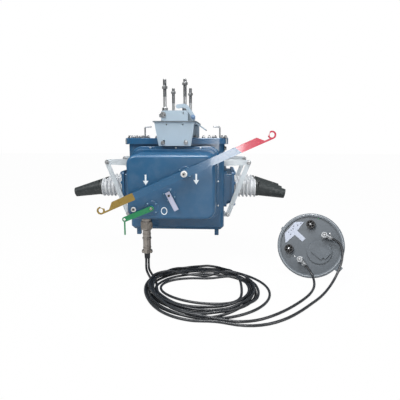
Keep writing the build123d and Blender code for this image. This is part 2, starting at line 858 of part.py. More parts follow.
# Control unit: a tapered hood lying on its flank, so that its open end tilts up
unit_normal = Vector(
    -sin(radians(unit_turn)) * cos(radians(unit_tilt)),
    -cos(radians(unit_turn)) * cos(radians(unit_tilt)),
    sin(radians(unit_tilt)),
)
unit_across = Vector(cos(radians(unit_turn)), -sin(radians(unit_turn)), 0)
unit_z = ground + unit_rim * sin(radians(unit_tilt)) + unit_radius * cos(radians(unit_tilt))
unit_rim_plane = Plane(origin=(unit_x, unit_y, unit_z), x_dir=unit_across, z_dir=unit_normal)
unit_section = Plane(origin=unit_rim_plane.origin, x_dir=unit_across, z_dir=unit_rim_plane.y_dir)
unit_axis = Axis(unit_rim_plane.origin, unit_normal)
unit_taper = tan(radians(unit_tilt))
back_radius = unit_radius - (unit_depth - unit_rim) * unit_taper
with BuildPart() as unit_hood:
    with BuildSketch(unit_section):
        with BuildLine():
            Polyline(
                (unit_face_radius + unit_face_play, 0),
                (unit_radius - unit_lip_edge, 0),
                (unit_radius, unit_lip_edge),
                (unit_radius, unit_rim),
                (back_radius + unit_back_fillet * unit_taper, unit_depth - unit_back_fillet),
                (back_radius - unit_back_fillet / 2, unit_depth),
                (0, unit_depth),
                (0, face_recess + face_thickness),
                (unit_face_radius + unit_face_play, face_recess + face_thickness),
                close=True,
            )
        make_face()
    revolve(axis=unit_axis)
save(unit_hood.part, "unit_hood")

# Face plate inside the hood's lip
unit_face_plane = unit_rim_plane.offset(-face_recess)
with BuildPart() as unit_face:
    with BuildSketch(unit_face_plane):
        Circle(unit_face_radius + unit_face_play - unit_face_gap)
    extrude(amount=-face_thickness)
save(unit_face.part, "unit_face")

# Round boss on the face, with two plain steps on it
with BuildPart() as unit_boss:
    with BuildSketch(unit_face_plane):
        with Locations(unit_boss_place):
            Circle(unit_boss_radius)
    extrude(amount=unit_boss_height / 2)
    chamfer(unit_boss.faces().sort_by(Axis(unit_rim_plane.origin, unit_normal))[-1].edges(), 1.5)
    with BuildSketch(unit_face_plane):
        with Locations(Location((unit_boss_place[0], unit_boss_place[1], 0), (0, 0, -35))):
            Rectangle(unit_boss_radius * 1.05, unit_boss_radius * 0.85)
            with Locations((unit_boss_radius * 0.35, unit_boss_radius * 0.2)):
                Rectangle(unit_boss_radius * 0.8, unit_boss_radius * 0.7)
    extrude(amount=unit_boss_height)
save(unit_boss.part, "unit_boss")

# Status plate, a flat arrow that points away from the connectors
with BuildPart() as status_plate:
    with BuildSketch(unit_face_plane):
        with BuildLine():
            Polyline(
                (-40, 110),
                (-83, 105),
                (-126, 43),
                (-116, -4),
                (-77, 41),
                (-38, 13),
                (-24, 29),
                (-67, 63),
                close=True,
            )
        make_face()
    extrude(amount=status_plate_thickness)
save(status_plate.part, "status_plate")

# Spoked caps
for name, place in cap_places.items():
    with BuildPart() as cap:
        with BuildSketch(unit_face_plane):
            with Locations(place):
                Circle(cap_radius)
                Circle(cap_radius * 0.78, mode=Mode.SUBTRACT)
                with PolarLocations(cap_radius * 0.45, cap_spokes):
                    Rectangle(cap_radius * 0.9, cap_radius * 0.2)
                Circle(cap_radius * 0.28)
        extrude(amount=cap_height)
        with BuildSketch(unit_face_plane):
            with Locations(place):
                Circle(cap_radius)
        extrude(amount=cap_height / 3)
    save(cap.part, name)

# Connectors, a nut on the face and a barrel that leads the cable off along it
for name, (place, turn) in connector_places.items():
    barrel_rise = connector_nut_length + barrel_radius / 2
    middle = unit_face_plane.from_local_coords(Vector(place[0], place[1], barrel_rise))
    lead = unit_across * cos(radians(turn)) + unit_rim_plane.y_dir * sin(radians(turn))
    with BuildPart() as connector:
        with BuildSketch(unit_face_plane):
            with Locations(place):
                RegularPolygon(connector_nut_radius, 6)
        extrude(amount=connector_nut_length)
        with BuildSketch(unit_face_plane):
            with Locations(place):
                Circle(connector_radius)
        extrude(amount=barrel_rise + barrel_radius + connector_cap_rise)
        with BuildSketch(Plane(origin=middle, z_dir=lead)):
            Circle(barrel_radius)
        extrude(amount=connector_length)
        with BuildSketch(Plane(origin=middle + lead * (connector_length * 0.62), z_dir=lead)):
            Circle(barrel_radius + barrel_collar_rise)
        extrude(amount=connector_length * 0.2)
    save(connector.part, name)
    end = middle + lead * connector_length
    print(name, "ends at", round(end.X, 1), round(end.Y, 1), round(end.Z, 1), "towards", lead)

# Carrying lug and latch on the hood's rim
for name, angle, width, rise in (
    ("unit_lug", unit_lug_angle, unit_lug_width, unit_lug_rise),
    ("unit_latch", unit_latch_angle, unit_latch_width, unit_latch_rise),
):
    outward = unit_across * cos(radians(angle)) + unit_rim_plane.y_dir * sin(radians(angle))
    seat = unit_rim_plane.origin - unit_normal * (unit_rim * 0.55) + outward * (unit_radius - rim_piece_root)
    with BuildPart() as rim_piece:
        with BuildSketch(Plane(origin=seat, x_dir=unit_normal, z_dir=outward)):
            Rectangle(unit_rim * 0.7, width)
        extrude(amount=rise + rim_piece_root)
        with BuildSketch(unit_rim_plane.offset(-unit_rim * 2)):
            Circle(unit_radius)
        extrude(amount=unit_rim * 3, mode=Mode.SUBTRACT)
    save(rim_piece.part, name)

# Control cables: points of each free stretch, chosen to lie as the cables do
drop_left = [
    (-142.5, -276, -730),
    (-142.5, -276, -747),
    (-141.5, -284, -763),
    (-138, -300, -774),
    (-131, -325, -777.5),
    (-119, -360, -777.5),
    (-101, -408, -777.5),
    (-76, -468, -777.5),
]
drop_right = [
    (-129.5, -276, -730),
    (-129.5, -276, -747),
    (-128.5, -283.5, -763),
    (-125, -298, -774),
    (-117.5, -321, -777.5),
    (-104, -354, -777.5),
    (-87, -396, -777.5),
    (-65, -440, -777.5),
]
tail_right = [
    (750.7, -351.6, -595.8),
    (777, -366.4, -605.7),
    (788, -392, -634),
    (776, -428, -682),
    (744, -468, -730),
    (699, -523, -765),
    (646, -594, -777.5),
    (592, -661, -777.5),
    (533, -733, -777.5),
    (466, -800, -777.5),
    (386, -848, -777.5),
    (300, -856, -777.5),
    (222, -826, -777.5),
]
tail_left = [
    (629.9, -366, -723.3),
    (641.9, -376.4, -735.6),
    (655, -402, -757),
    (655, -440, -772),
    (641, -498, -777.5),
    (606, -572, -777.5),
    (556, -640, -777.5),
    (500, -705, -777.5),
    (436, -766, -777.5),
    (368, -812, -777.5),
    (302, -828, -777.5),
    (240, -817, -777.5),
]


def cable(name, points):
    """A cable's free stretch: straight runs joined by tangent arcs."""
    corners = [Vector(*point) for point in points]
    radii = []
    for before, at, after in zip(corners, corners[1:], corners[2:]):
        turn = (at - before).get_angle(after - at)
        shorter = min((at - before).length, (after - at).length)
        radii.append(0.45 * shorter / tan(radians(turn / 2)))
    print(name, "radii", [round(radius) for radius in radii])
    with BuildPart() as tube:
        with BuildLine() as path:
            FilletPolyline(*corners, radius=radii)
        with BuildSketch(Plane(origin=corners[0], z_dir=corners[1] - corners[0])):
            Circle(cable_radius)
        sweep()
    length = sum(edge.length for edge in path.edges())
    section = pi * cable_radius**2
    print(name, "length", round(length), "volume ratio", round(tube.part.volume / section / length, 4))
    save(tube.part, name)


cable("cable_drop_left", drop_left)
cable("cable_drop_right", drop_right)
cable("cable_tail_right", tail_right)
cable("cable_tail_left", tail_left)

# The coil that both cables are laid in, as one closed ring
with BuildPart() as cable_coil:
    with BuildSketch(Plane.XY.offset(ground)):
        with Locations(coil_middle):
            Ellipse(*coil_reach)
        with Locations(coil_void_middle):
            Ellipse(*coil_void_reach, mode=Mode.SUBTRACT)
    extrude(amount=coil_height)
    chamfer(cable_coil.faces().sort_by(Axis.Z)[-1].edges(), coil_edge)
save(cable_coil.part, "cable_coil")
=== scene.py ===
"""Pole-mounted vacuum load break switch: finishes, fasteners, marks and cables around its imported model."""

import math

import bmesh
import bpy
from mathutils import Matrix, Vector
from mathutils.bvhtree import BVHTree


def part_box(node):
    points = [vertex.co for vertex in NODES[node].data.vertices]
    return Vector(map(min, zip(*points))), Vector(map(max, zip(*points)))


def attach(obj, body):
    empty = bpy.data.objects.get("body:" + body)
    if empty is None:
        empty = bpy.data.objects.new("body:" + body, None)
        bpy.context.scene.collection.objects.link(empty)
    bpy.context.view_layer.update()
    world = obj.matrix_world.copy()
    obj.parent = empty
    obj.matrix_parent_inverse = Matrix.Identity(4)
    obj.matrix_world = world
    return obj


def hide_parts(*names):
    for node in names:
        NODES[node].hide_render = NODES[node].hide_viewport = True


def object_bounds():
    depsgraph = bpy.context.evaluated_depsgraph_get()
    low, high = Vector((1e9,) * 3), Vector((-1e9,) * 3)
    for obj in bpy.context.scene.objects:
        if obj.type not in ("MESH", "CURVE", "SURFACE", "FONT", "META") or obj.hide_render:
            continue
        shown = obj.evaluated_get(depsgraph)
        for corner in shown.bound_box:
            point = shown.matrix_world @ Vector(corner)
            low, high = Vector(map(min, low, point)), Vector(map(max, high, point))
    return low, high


bl_info = {
    "name": "Load Break Switch",
    "version": (1, 0, 0),
    "blender": (4, 5, 0),
    "location": "View3D > Sidebar > Load Break Switch",
    "description": "Dresses the packed switch with paint, fasteners, marks and its control cables",
    "category": "Object",
}

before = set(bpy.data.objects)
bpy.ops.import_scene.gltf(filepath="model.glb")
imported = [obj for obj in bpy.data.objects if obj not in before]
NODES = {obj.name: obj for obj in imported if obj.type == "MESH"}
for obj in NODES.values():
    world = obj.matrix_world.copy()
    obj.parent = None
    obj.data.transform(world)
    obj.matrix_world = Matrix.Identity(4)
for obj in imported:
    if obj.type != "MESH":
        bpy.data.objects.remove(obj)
cad_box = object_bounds()
MM = 0.001


def length(name, description, default):
    """A length that a user may change."""
    return bpy.props.FloatProperty(name=name, description=description, default=default, unit="LENGTH")


def paint(name, description, default):
    """A colour that a user may change."""
    return bpy.props.FloatVectorProperty(
        name=name, description=description, default=default, size=3, subtype="COLOR"
    )


class ControlSizes(bpy.types.PropertyGroup):
    """Sizes that a user may change, in metres and degrees."""

    lever_angle: bpy.props.FloatProperty(
        name="Lever angle",
        description="How far the operating lever's right end stands above level",
        default=math.radians(24.0),
        subtype="ANGLE",
    )
    cable_diameter: length("Cable diameter", "Diameter of each control cable", 11 * MM)
    coil_turns: bpy.props.IntProperty(
        name="Coil turns",
        description="Whole turns that each control cable makes on the ground",
        default=4,
        min=2,
        max=4,
    )
    bolt_size: length("Lid bolt", "Thread diameter of the lid's bolts", 8 * MM)
    thread_pitch: length("Stud thread pitch", "Distance between the threads of the hanger's studs", 2.5 * MM)


class ControlColours(bpy.types.PropertyGroup):
    """Finishes that a user may change."""

    tank: paint("Tank paint", "Blue of the tank and cover", (0.014, 0.094, 0.205))
    hanger: paint("Hanger paint", "Pale grey of the hanger", (0.40, 0.50, 0.58))
    lever_left: paint("Lever, left end", "Gold of the lever's left end", (0.27, 0.165, 0.002))
    lever_right: paint("Lever, right end", "Red of the lever's right end", (0.60, 0.042, 0.08))
    trip: paint("Trip lever", "Green of the trip lever", (0.0, 0.215, 0.07))
    unit: paint("Control unit", "Grey of the control unit", (0.092, 0.108, 0.125))


class Term:
    """A shader socket that can be added, multiplied and compared like a number."""

    def __init__(self, nodes, socket):
        self.nodes = nodes
        self.socket = socket

    def _maths(self, operation, *terms):
        return self.nodes.node("ShaderNodeMath", {"operation": operation}, dict(enumerate(terms)))

    def __add__(self, other):
        return self._maths("ADD", self, other)

    __radd__ = __add__

    def __sub__(self, other):
        return self._maths("SUBTRACT", self, other)

    def __rsub__(self, other):
        return self._maths("SUBTRACT", other, self)

    def __mul__(self, other):
        return self._maths("MULTIPLY", self, other)

    __rmul__ = __mul__

    def __gt__(self, other):
        return self._maths("GREATER_THAN", self, other)

    def __lt__(self, other):
        return self._maths("LESS_THAN", self, other)

    def smooth(self, start, end):
        """0 below start, 1 above end, and a soft step between."""
        settings = {"interpolation_type": "SMOOTHSTEP"}
        inputs = {"Value": self, "From Min": start, "From Max": end}
        return self.nodes.node("ShaderNodeMapRange", settings, inputs)


class Nodes:
    """A node tree whose nodes are all made by one method."""

    def __init__(self, tree):
        self.tree = tree

    def node(self, kind, settings=None, inputs=None, output=0):
        """Adds a node, sets it up, fills or links its inputs and returns an output."""
        made = self.tree.nodes.new(kind)
        for key, value in (settings or {}).items():
            setattr(made, key, value)
        for key, value in (inputs or {}).items():
            self.fill(made.inputs[key], value)
        return Term(self, made.outputs[output])

    def fill(self, socket, value):
        """Links a term to a socket, or sets its value."""
        if isinstance(value, Term):
            self.tree.links.new(value.socket, socket)
        elif socket.type == "RGBA" and len(value) == 3:
            socket.default_value = (*value, 1.0)
        else:
            socket.default_value = value


class Shade(Nodes):
    """A material's nodes, with its surface shader."""

    def __init__(self, name):
        self.material = bpy.data.materials.new(name)
        self.material.use_nodes = True
        super().__init__(self.material.node_tree)
        self.surface = self.tree.nodes["Principled BSDF"]
        self.coordinates = self.node("ShaderNodeTexCoord", output="Object")

    def axis(self, name):
        """One of the object coordinates, in metres."""
        split = {"X": 0, "Y": 1, "Z": 2}[name]
        return self.node("ShaderNodeSeparateXYZ", {}, {0: self.coordinates}, split)

    def noise(self, scale, detail=4.0, roughness=0.5):
        """Noise from 0 to 1, its scale in features a metre."""
        inputs = {"Vector": self.coordinates, "Scale": scale, "Detail": detail, "Roughness": roughness}
        return self.node("ShaderNodeTexNoise", {}, inputs)

    def mix(self, mask, first, second):
        """Two colours mixed by a mask."""
        return self.node("ShaderNodeMix", {"data_type": "RGBA"}, {0: mask, 6: first, 7: second}, 2)

    def bump(self, height, distance, strength=1.0):
        """A height, in units of distance, as the surface's normal."""
        inputs = {"Height": height, "Distance": distance, "Strength": strength}
        self.fill(self.surface.inputs["Normal"], self.node("ShaderNodeBump", {}, inputs))

    def set(self, **values):
        """Sets the surface shader's own sockets."""
        for key, value in values.items():
            self.fill(self.surface.inputs[key.replace("_", " ")], value)
        return self.material


def shade_of(colour, factor):
    """A colour made darker or paler."""
    return tuple(min(1.0, part * factor) for part in colour)


def painted(name, colour, gloss=0.32, grime=0.25, peel=0.00004):
    """Sprayed enamel: cloudy colour, dust in patches, orange peel and a few scuffs."""
    shade = Shade(name)
    cloud = shade.noise(7.0, 3.0)
    dust = shade.noise(24.0, 6.0, 0.6).smooth(0.40, 0.80)
    scuff = shade.noise(210.0, 2.0).smooth(0.70, 0.80)
    base = shade.mix(cloud, shade_of(colour, 0.84), shade_of(colour, 1.12))
    base = shade.mix(dust * grime * 0.3, base, (0.36, 0.40, 0.43))
    base = shade.mix(scuff * 0.2, base, shade_of(colour, 1.6))
    rough = gloss + dust * 0.16 + scuff * 0.12
    grain = shade.noise(900.0, 2.0) + shade.noise(2600.0, 1.0) * 0.4
    shade.bump(grain, peel, 0.6)
    return shade.set(Base_Color=base, Roughness=rough, Coat_Weight=0.35, Coat_Roughness=0.12)


def plated(name, colour, rough=0.34):
    """Plated steel: brushed grain, dull patches and spots."""
    shade = Shade(name)
    patch = shade.noise(55.0, 5.0, 0.6)
    spot = shade.noise(320.0, 3.0).smooth(0.62, 0.75)
    base = shade.mix(patch, shade_of(colour, 0.72), shade_of(colour, 1.18))
    base = shade.mix(spot * 0.35, base, shade_of(colour, 0.4))
    shade.bump(shade.noise(1500.0, 2.0), 0.00003, 0.6)
    return shade.set(Base_Color=base, Metallic=0.9, Roughness=rough + patch * 0.2 + spot * 0.15)


def moulded(name, colour, rough=0.55, mottle=0.12, pit=0.00006, dusty=0.18):
    """Moulded rubber or plastic: faint mottling, dust and a fine matt skin."""
    shade = Shade(name)
    cloud = shade.noise(16.0, 4.0)
    dust = shade.noise(60.0, 6.0, 0.7).smooth(0.50, 0.78)
    base = shade.mix(cloud, shade_of(colour, 1 - mottle), shade_of(colour, 1 + mottle))
    base = shade.mix(dust * dusty, base, (0.42, 0.42, 0.41))
    shade.bump(shade.noise(1300.0, 3.0) + shade.noise(180.0, 2.0) * 0.6, pit, 0.7)
    return shade.set(Base_Color=base, Roughness=rough + dust * 0.2)


def tube_line(name, points, radius, material):
    """An open NURBS tube that follows its points."""
    data = bpy.data.curves.new(name, "CURVE")
    data.dimensions = "3D"
    line = data.splines.new("NURBS")
    line.points.add(len(points) - 1)
    for point, place in zip(line.points, points):
        point.co = (*place, 1.0)
    line.order_u = 3
    line.use_endpoint_u = True
    line.resolution_u = 3
    data.bevel_depth = radius
    data.bevel_resolution = 3
    data.use_fill_caps = True
    data.materials.append(material)
    obj = bpy.data.objects.new(name, data)
    bpy.context.collection.objects.link(obj)
    return obj


COIL_CENTRE = Vector((0.165, -0.545))
TURN_POINTS = 72
GROUND_REST = -0.7775
# Points that a strand takes to rise to a crossing, and how broad the top of that rise is
RISE_POINTS = 9
RISE_BREADTH = 0.675
DROP_STEPS = 8
# Reaches of the two cables' turns from the coil's middle, in millimetres: across at each left
# and right end, along at each front and back end, from the first turn to the last
OUTER_ACROSS = (232, 216, 250, 204, 216, 194, 238, 274, 256, 262)
OUTER_ALONG = (214, 240, 256, 186, 198, 226, 268, 250, 285, 285)
INNER_ACROSS = (214, 186, 238, 226, 194, 156, 226, 208, 244, 240)
INNER_ALONG = (186, 204, 240, 128, 138, 262, 230, 146, 270, 270)
OUTER_SLANT = 0.03
INNER_SLANT = 0.11


def eased(reaches, half_turns):
    """The reach at a count of half turns, eased between the ends' reaches."""
    place = min(max(half_turns, 0.0), len(reaches) - 1.001)
    step = int(place)
    ease = (1 - math.cos(math.pi * (place - step))) / 2
    return reaches[step] * (1 - ease) + reaches[step + 1] * ease


def coil_track(across, along, slant, start, turns):
    """A loose coil seen from above, counted in turns from its left end."""
    track = []
    for step in range(round(start * TURN_POINTS), round(turns * TURN_POINTS) + 1):
        turn = step / TURN_POINTS
        angle = math.pi + turn * 2 * math.pi
        x = eased(across, 2 * turn) * MM * math.cos(angle)
        y = eased(along, 2 * turn - 0.5) * MM * math.sin(angle) - slant * x
        track.append(COIL_CENTRE + Vector((x, y)))
    return track


def under(points):
    """Closely spaced spots along a route that already lies on the ground."""
    spots = []
    for first, second in zip(points, points[1:]):
        for step in range(DROP_STEPS):
            spot = first + (second - first) * (step / DROP_STEPS)
            spots.append((Vector((spot[0], spot[1])), max(spot[2], GROUND_REST)))
    return spots


def settled(track, laid, diameter):
    """Heights of a track that rests on the ground, on what is laid already and on itself."""
    heights = [GROUND_REST] * len(track)
    own = []
    for step, spot in enumerate(track):
        for other, level in laid + own[: max(0, step - TURN_POINTS // 4)]:
            apart = (spot - other).length
            if apart < diameter:
                rest = level + math.sqrt(diameter**2 - apart**2)
                for near in range(-RISE_POINTS, RISE_POINTS + 1):
                    place = step + near
                    if 0 <= place < len(track):
                        slope = 1 + math.cos(math.pi * near / (RISE_POINTS + 1))
                        lift = min(1.0, RISE_BREADTH * slope)
                        height = GROUND_REST + (rest - GROUND_REST) * lift
                        heights[place] = max(heights[place], height)
        own = [(spot, heights[place]) for place, spot in enumerate(track[: step + 1])]
    return heights


def coil_points(tracks, drops, diameter):
    """The tracks as points in space, each cable laid over the drops and the cables before it."""
    laid = under(drops[0]) + under(drops[1])
    routes = []
    for track in tracks:
        heights = settled(track, laid, diameter)
        laid += list(zip(track, heights))
        routes.append([Vector((*spot, z)) for spot, z in zip(track, heights)])
    return routes


def mm_points(points):
    """Route points given in millimetres, in metres."""
    return [Vector(point) * MM for point in points]


DROP_LEFT = (
    (-142.5, -276, -730), (-142.5, -276, -747), (-141.5, -284, -763), (-138, -300, -774),
    (-131, -325, -777.5), (-119, -360, -777.5), (-101, -408, -777.5), (-76, -468, -777.5),
)
DROP_RIGHT = (
    (-129.5, -276, -730), (-129.5, -276, -747), (-128.5, -283.5, -763), (-125, -298, -774),
    (-117.5, -321, -777.5), (-104, -354, -777.5), (-87, -396, -777.5), (-65, -440, -777.5),
)
TAIL_RIGHT = (
    (222, -826, -777.5), (300, -856, -777.5), (386, -848, -777.5), (466, -800, -777.5),
    (533, -733, -777.5), (592, -661, -777.5), (646, -594, -777.5), (699, -523, -765),
    (744, -468, -730), (776, -428, -682), (788, -392, -634), (777, -366.4, -605.7),
    (750.7, -351.6, -595.8),
)
TAIL_LEFT = (
    (240, -817, -777.5), (302, -828, -777.5), (368, -812, -777.5), (436, -766, -777.5),
    (500, -705, -777.5), (556, -640, -777.5), (606, -572, -777.5), (641, -498, -777.5),
    (655, -440, -772), (655, -402, -757), (641.9, -376.4, -735.6), (629.9, -366, -723.3),
)


class LBS_OT_control_cables(bpy.types.Operator):
    """Lays the two control cables from the plug, round the coil and to the control unit"""

    bl_idname = "lbs.control_cables"
    bl_label = "Control cables"

    def execute(self, context):
        sizes = context.scene.lbs_sizes
        jacket = cable_jacket()
        tracks = [
            coil_track(OUTER_ACROSS, OUTER_ALONG, OUTER_SLANT, 0.05, sizes.coil_turns + 0.24),
            coil_track(INNER_ACROSS, INNER_ALONG, INNER_SLANT, 0.05, sizes.coil_turns + 0.24),
        ]
        drops = [mm_points(DROP_LEFT), mm_points(DROP_RIGHT)]
        turns = coil_points(tracks, drops, sizes.cable_diameter)
        routes = (
            ("control_cable_outer", DROP_LEFT, turns[0], TAIL_RIGHT, "cable_drop_left", "cable_tail_right"),
            ("control_cable_inner", DROP_RIGHT, turns[1], TAIL_LEFT, "cable_drop_right", "cable_tail_left"),
        )
        for name, drop, coil, tail, *nodes in routes:
            points = mm_points(drop) + coil + mm_points(tail)
            cable = tube_line(name, points, sizes.cable_diameter / 2, jacket)
            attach(cable, "switch")
            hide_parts(*nodes, "cable_coil")
            line_length(cable)
        return {"FINISHED"}


def line_length(obj):
    """The length of a curve's own line."""
    bare = obj.copy()
    bare.data = obj.data.copy()
    bare.data.bevel_depth = 0
    bare.data.use_fill_caps = False
    mesh = bpy.data.meshes.new_from_object(bare)
    places = [vertex.co.copy() for vertex in mesh.vertices]
    length = sum((b - a).length for a, b in zip(places, places[1:]))
    bpy.data.meshes.remove(mesh)
    curve = bare.data
    bpy.data.objects.remove(bare)
    bpy.data.curves.remove(curve)
    return length


def cable_jacket():
    """Black cable jacket: satin, dusty, with fine rings from the extruder."""
    shade = Shade("cable_jacket")
    cloud = shade.noise(24.0, 4.0)
    dust = shade.noise(75.0, 6.0, 0.7).smooth(0.50, 0.80)
    base = shade.mix(cloud, (0.007, 0.009, 0.012), (0.020, 0.023, 0.028))
    base = shade.mix(dust * 0.05, base, (0.30, 0.29, 0.27))
    shade.bump(shade.noise(1100.0, 3.0), 0.00003, 0.3)
    return shade.set(Base_Color=base, Roughness=0.34 + dust * 0.2, Coat_Weight=0.2, Coat_Roughness=0.3)


# The front axes, across and up
LEVER_AXIS = (0.067, -0.290)
TRIP_AXIS = (-0.088, -0.452)
POINTER_AXIS = (-0.006, -0.392)
STOP_AXIS = (-0.170, -0.457)
# How far from the pivot the lever's gold and red begin
GOLD_FROM = -0.246
RED_FROM = 0.262


def lever_enamel(angle, colours):
    """The operating lever's enamel: gold at its left, blue in the middle, red at its right."""
    shade = Shade("lever_enamel")
    x = shade.axis("X") - LEVER_AXIS[0]
    z = shade.axis("Z") - LEVER_AXIS[1]
    along = x * math.cos(angle) + z * math.sin(angle)
    across = z * math.cos(angle) - x * math.sin(angle)
    edge = shade.noise(120.0, 3.0) * 0.004
    gold = (along + edge) < GOLD_FROM
    red = (along + across * 0.5 + edge) > RED_FROM
    base = shade.mix(gold, colours.tank, colours.lever_left)
    base = shade.mix(red, base, colours.lever_right)
    cloud = shade.noise(9.0, 3.0)
    base = shade.mix(cloud * 0.10, base, (0.24, 0.33, 0.40))
    chip = shade.noise(260.0, 4.0, 0.6).smooth(0.68, 0.73)
    base = shade.mix(chip * 0.7, base, (0.30, 0.31, 0.31))
    grain = shade.noise(800.0, 2.0) - chip * 1.5
    shade.bump(grain, 0.00004, 0.6)
    rough = 0.22 + cloud * 0.10 + chip * 0.2
    return shade.set(Base_Color=base, Roughness=rough, Coat_Weight=0.5, Coat_Roughness=0.08)


def glazed_silicone(name, colour):
    """Off-white silicone: soft, dusty in its grooves, a little streaked from the weather."""
    shade = Shade(name)
    streak = shade.noise(30.0, 5.0, 0.6)
    soot = shade.noise(120.0, 5.0, 0.7).smooth(0.55, 0.8)
    base = shade.mix(streak, shade_of(colour, 0.84), shade_of(colour, 1.06))
    base = shade.mix(soot * 0.25, base, (0.30, 0.31, 0.32))
    shade.bump(shade.noise(700.0, 3.0), 0.00006, 0.5)
    return shade.set(Base_Color=base, Roughness=0.42 + soot * 0.2, Coat_Weight=0.1)


def shadow_edged_enamel(colour):
    """The hanger's enamel, with a painted shadow: a dark band along the base plate's front edge."""
    shade = Shade("shadow_edged_enamel")
    ragged = shade.noise(90.0, 4.0) * 0.003
    # painted shadow mask: a ragged band along the base plate's front edge
    edge = (shade.axis("Y") + ragged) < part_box("hanger_base_plate")[0].y + 0.005
    cloud = shade.noise(7.0, 3.0)
    base = shade.mix(cloud, shade_of(colour, 0.84), shade_of(colour, 1.12))
    # painted shadow: the band is darkened as if shade fell on it
    base = shade.mix(edge * 0.8, base, (0.07, 0.08, 0.09))
    shade.bump(shade.noise(900.0, 2.0), 0.00004, 0.6)
    return shade.set(Base_Color=base, Roughness=0.36 + edge * 0.1, Coat_Weight=0.25, Coat_Roughness=0.12)


def node_finishes(colours, angle):
    """Each finish with the CAD nodes that it covers."""
    zinc_grey = (0.56, 0.61, 0.64)
    return (
        (
            painted("tank_enamel", tuple(colours.tank)),
            "tank_body tank_lid feet front_frame mechanism_cover lever_boss trip_boss pointer_boss "
            "side_housing_left side_housing_right",
        ),
        (
            painted("hanger_enamel", tuple(colours.hanger), 0.36, 0.3),
            "hanger_front_plate hanger_rear_leg hanger_lugs hanger_saddle saddle_end_plate clamp_claw "
            "hanger_wing",
        ),
        (shadow_edged_enamel(colours.hanger), "hanger_base_plate"),
        (
            painted("bracket_galvanising", zinc_grey, 0.42, 0.35),
            "bracket_arms_left bracket_arms_right bracket_braces_left bracket_braces_right "
            "brace_stubs_left brace_stubs_right",
        ),
        (
            plated("stud_zinc", (0.50, 0.51, 0.52), 0.30),
            "hanger_studs lid_rod_left lid_rod_right trip_stop lever_hub",
        ),
        (glazed_silicone("bushing_silicone", (0.66, 0.68, 0.70)), "bushings_left bushings_right"),
        (moulded("boot_rubber", (0.020, 0.026, 0.027), 0.44), "cable_boots_left cable_boots_right"),
        (lever_enamel(angle, colours), "operating_lever"),
        (painted("trip_enamel", tuple(colours.trip), 0.28, 0.12), "trip_lever pull_strip"),
        (painted("pointer_enamel", (0.50, 0.52, 0.67), 0.34, 0.12), "position_pointer"),
        (plated("plug_nickel", (0.36, 0.33, 0.30), 0.22), "control_socket control_plug"),
        (plated("connector_plating", (0.46, 0.48, 0.50), 0.24), "connector_left connector_right"),
        (moulded("sleeve_rubber", (0.02, 0.022, 0.026), 0.5), "plug_sleeve"),
        (painted("unit_enamel", shade_of(colours.unit, 1.35), 0.36, 0.2), "unit_hood unit_lug unit_latch"),
        (painted("unit_face_enamel", tuple(colours.unit), 0.38, 0.2), "unit_face unit_boss"),
        (moulded("status_plastic", (0.43, 0.47, 0.56), 0.45, 0.05, 0.00004, 0.1), "status_plate"),
        (moulded("cap_plastic", (0.010, 0.010, 0.012), 0.42, 0.1, 0.00005, 0.1), "cap_left cap_right"),
    )


class LBS_OT_finishes(bpy.types.Operator):
    """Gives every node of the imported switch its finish"""

    bl_idname = "lbs.finishes"
    bl_label = "Finishes"

    def execute(self, context):
        sizes = context.scene.lbs_sizes
        colours = context.scene.lbs_colours
        covered = set()
        for material, names in node_finishes(colours, sizes.lever_angle):
            for name in names.split():
                mesh = NODES[name].data
                mesh.materials.clear()
                mesh.materials.append(material)
                covered.add(name)
        hidden = {"cable_drop_left", "cable_drop_right", "cable_tail_left", "cable_tail_right", "cable_coil"}
        bare = set(NODES) - covered - hidden
        if bare:
            raise RuntimeError(f"no finish for {sorted(bare)}")
        return {"FINISHED"}


def solid_from(bm, name, material):
    """A mesh object from a bmesh, its normals outward."""
    bmesh.ops.recalc_face_normals(bm, faces=bm.faces)
    mesh = bpy.data.meshes.new(name)
    bm.to_mesh(mesh)
    bm.free()
    mesh.materials.append(material)
    obj = bpy.data.objects.new(name, mesh)
    bpy.context.collection.objects.link(obj)
    return obj


def fitted(bm, name, material, body, place=Matrix()):
    """A new piece at its place, riding on a body."""
    bmesh.ops.transform(bm, matrix=place, verts=bm.verts)
    piece = solid_from(bm, name, material)
    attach(piece, body)


def turned(profile, sides, unit=1.0):
    """A solid turned round its own Z from (radius, height) corners in a unit, both ends on the axis."""
    bm = bmesh.new()
    rings = []
    for radius, height in profile:
        radius *= unit
        height *= unit
        if radius < 1e-7:
            rings.append([bm.verts.new((0, 0, height))])
            continue
        ring = []
        for step in range(sides):
            angle = 2 * math.pi * step / sides
            ring.append(bm.verts.new((radius * math.cos(angle), radius * math.sin(angle), height)))
        rings.append(ring)
    for first, second in zip(rings, rings[1:]):
        for step in range(sides):
            after = (step + 1) % sides
            places = ((first, step), (first, after), (second, after), (second, step))
            corners = list(dict.fromkeys(ring[place % len(ring)] for ring, place in places))
            if len(corners) > 2:
                bm.faces.new(corners)
    return bm


def facing(place, outward, spin=0.0):
    """A transform whose Z points outward from a place."""
    turn = Vector(outward).to_track_quat("Z", "Y").to_matrix().to_4x4()
    return Matrix.Translation(Vector(place)) @ turn @ Matrix.Rotation(spin, 4, "Z")


def hex_nut(flats, thickness, hole=0.0):
    """A chamfered hexagon nut standing on its own XY plane."""
    corner = flats / math.sqrt(3)
    bevel = thickness * 0.14
    bm = turned([(0, 0), (corner, 0), (corner, thickness - bevel), (flats / 2, thickness), (0, thickness)], 6)
    if hole:
        shoulder = thickness + hole * 0.9
        top = thickness + hole * 1.2
        stud = [(0, thickness * 0.5), (hole, thickness * 0.5), (hole, shoulder), (hole * 0.7, top), (0, top)]
        add_parts(bm, turned(stud, 16))
    return bm


def bridged(bm, first, second):
    """Adds the faces between two rings of corners."""
    for step in range(len(first)):
        after = (step + 1) % len(first)
        bm.faces.new((first[step], first[after], second[after], second[step]))


